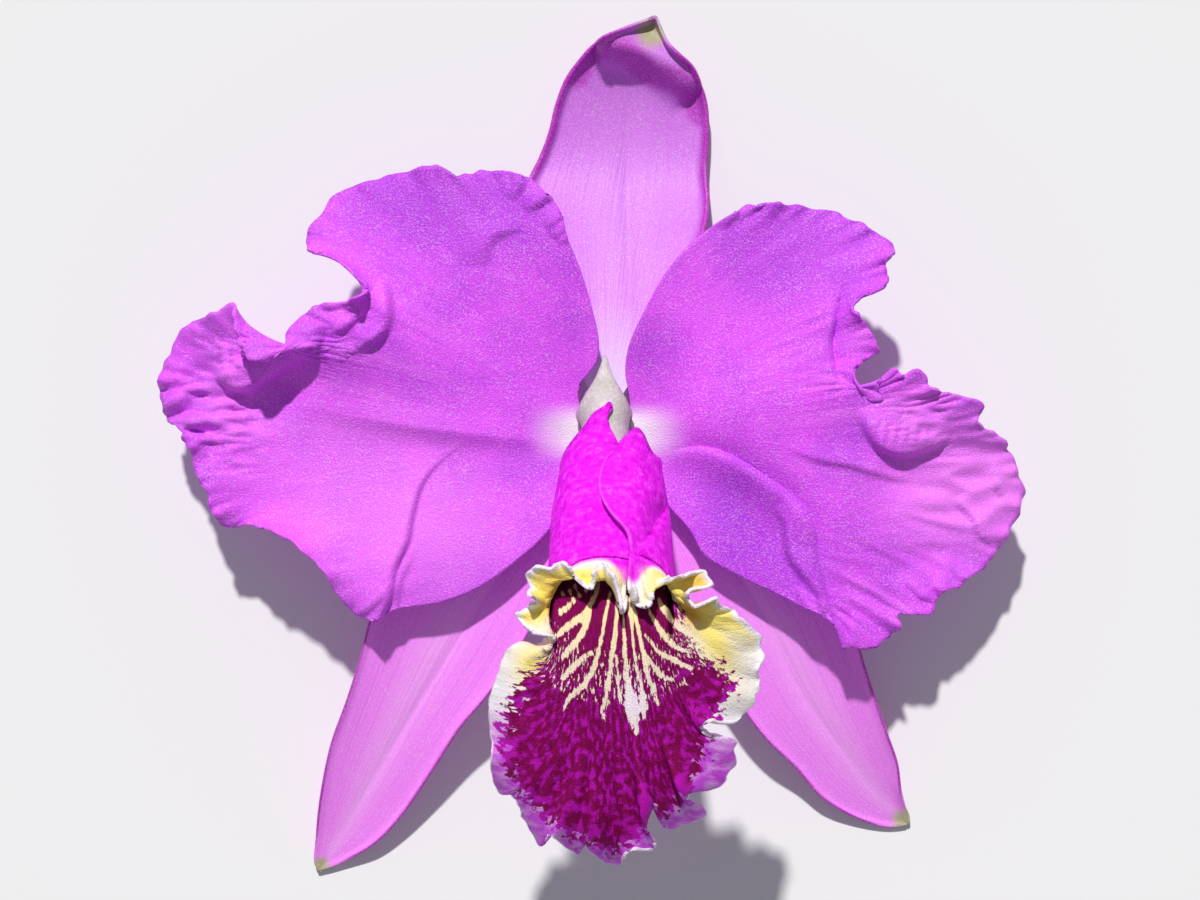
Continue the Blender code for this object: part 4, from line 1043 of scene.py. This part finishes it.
# Seed vessel and stalk: the green stem behind the bloom, ribbed where the seeds would form. It bends
# over to the surface, lies on it and is cut off square, with a pale, moist cut face.
STALK_GREEN = (0.17, 0.27, 0.05)
STALK_PALE = (0.30, 0.40, 0.12)
STALK_BLUSH = (0.45, 0.20, 0.35)
STALK_SPECKS = (0.20, 0.12, 0.10)
CUT_FACE = (0.62, 0.70, 0.35)
TABLE_LEVEL = -22.0
stalk, place = add_stalk("ribbed_stalk", [
    (0, 0.2, -2.2, 3.7), (0, 0.2, -3.6, 3.5), (0, -0.7, -8, 3.4), (0, -5, -15, 3.4), (0, -14, -19.4, 3),
    (0.5, -28, -20.4, 2.5), (1.5, -45, -20.4, 2.5), (2.5, -60, -20.4, 2.5)],
    rings=100, roundness=96, rib_depth=0.07)
place[:, 2] = np.maximum(place[:, 2], TABLE_LEVEL)
settle(stalk, place)
stalk_material, tree, shader = tissue_shader("stalk green", 0.42)
place = object_place(tree)
drawn_out = add_node(tree, "ShaderNodeMapping", {"Vector": place, "Scale": (1.0, 0.15, 1.0)}).outputs[0]
lines = noise(drawn_out, 900.0, 3.0)
specks = noise(place, 700.0, 2.0)
axes = add_node(tree, "ShaderNodeSeparateXYZ", {0: place}).outputs
colour = coats(
    STALK_GREEN,
    (clamp_range(lines, 0.35, 0.7), STALK_PALE),
    (clamp_range(axes["Z"], 0.012, 0.020, 0.0, 0.5), STALK_BLUSH),
    (clamp_range(specks, 0.66, 0.74, 0.0, 0.5), STALK_SPECKS),
    (clamp_range(axes["Y"], -0.0552, -0.0554, 0.0, 0.9), CUT_FACE))
finish_tissue(shader, colour, lines, 0.0002, 0.5)
stalk.data.materials.append(stalk_material)
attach(stalk, "root")
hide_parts("ovary_pedicel")


# Surface, light and camera: a plain pale table under a soft sky, one small lamp from above the bloom's
# top, and the camera straight over it.
TABLE_GREY = (0.84, 0.84, 0.84)
SUN_WHITE = (1.0, 0.98, 0.96)
SUN_STRENGTH = 3.25
SKY_BLUE = (0.86, 0.90, 1.0)
SKY_STRENGTH = 0.28
bpy.ops.object.select_all(action="DESELECT")
bpy.ops.mesh.primitive_plane_add(size=3.0, location=(0.0, 0.0, 0.0))
floor = bpy.context.object
floor.name = "pale_table"
floor_material = bpy.data.materials.new("pale table")
floor_material.use_nodes = True
floor_shader = floor_material.node_tree.nodes["Principled BSDF"]
floor_shader.inputs["Base Color"].default_value = (*TABLE_GREY, 1.0)
floor_shader.inputs["Roughness"].default_value = 0.9
floor_shader.inputs["Specular IOR Level"].default_value = 0.1
floor.data.materials.append(floor_material)

bpy.ops.object.light_add(type="SUN", rotation=(np.radians(-40.0), np.radians(-8.0), 0.0))
lamp = bpy.context.object
lamp.data.energy = SUN_STRENGTH
lamp.data.angle = np.radians(2.5)
lamp.data.color = SUN_WHITE

world = bpy.data.worlds.new("soft sky")
world.use_nodes = True
sky = world.node_tree.nodes["Background"]
sky.inputs["Color"].default_value = (*SKY_BLUE, 1.0)
sky.inputs["Strength"].default_value = SKY_STRENGTH
bpy.context.scene.world = world
bpy.context.scene.view_settings.view_transform = "Standard"

CAMERA_HEIGHT = 650.0
SENSOR_WIDTH = 36.0
MM_PER_PIXEL = 0.209
PICTURE_WIDTH, PICTURE_HEIGHT = 1200, 900
CENTRE_PIXEL = (608, 425)
camera_data = bpy.data.cameras.new("overhead_camera")
camera_data.sensor_width = SENSOR_WIDTH
camera_data.lens = SENSOR_WIDTH * CAMERA_HEIGHT / (PICTURE_WIDTH * MM_PER_PIXEL)
camera = bpy.data.objects.new("overhead_camera", camera_data)
bpy.context.scene.collection.objects.link(camera)
camera.location = (
    (BLOOM_CENTRE[0] + (PICTURE_WIDTH / 2 - CENTRE_PIXEL[0]) * MM_PER_PIXEL) * MM,
    (BLOOM_CENTRE[1] + (CENTRE_PIXEL[1] - PICTURE_HEIGHT / 2) * MM_PER_PIXEL) * MM,
    (BLOOM_CENTRE[2] + CAMERA_HEIGHT) * MM)
bpy.context.scene.camera = camera
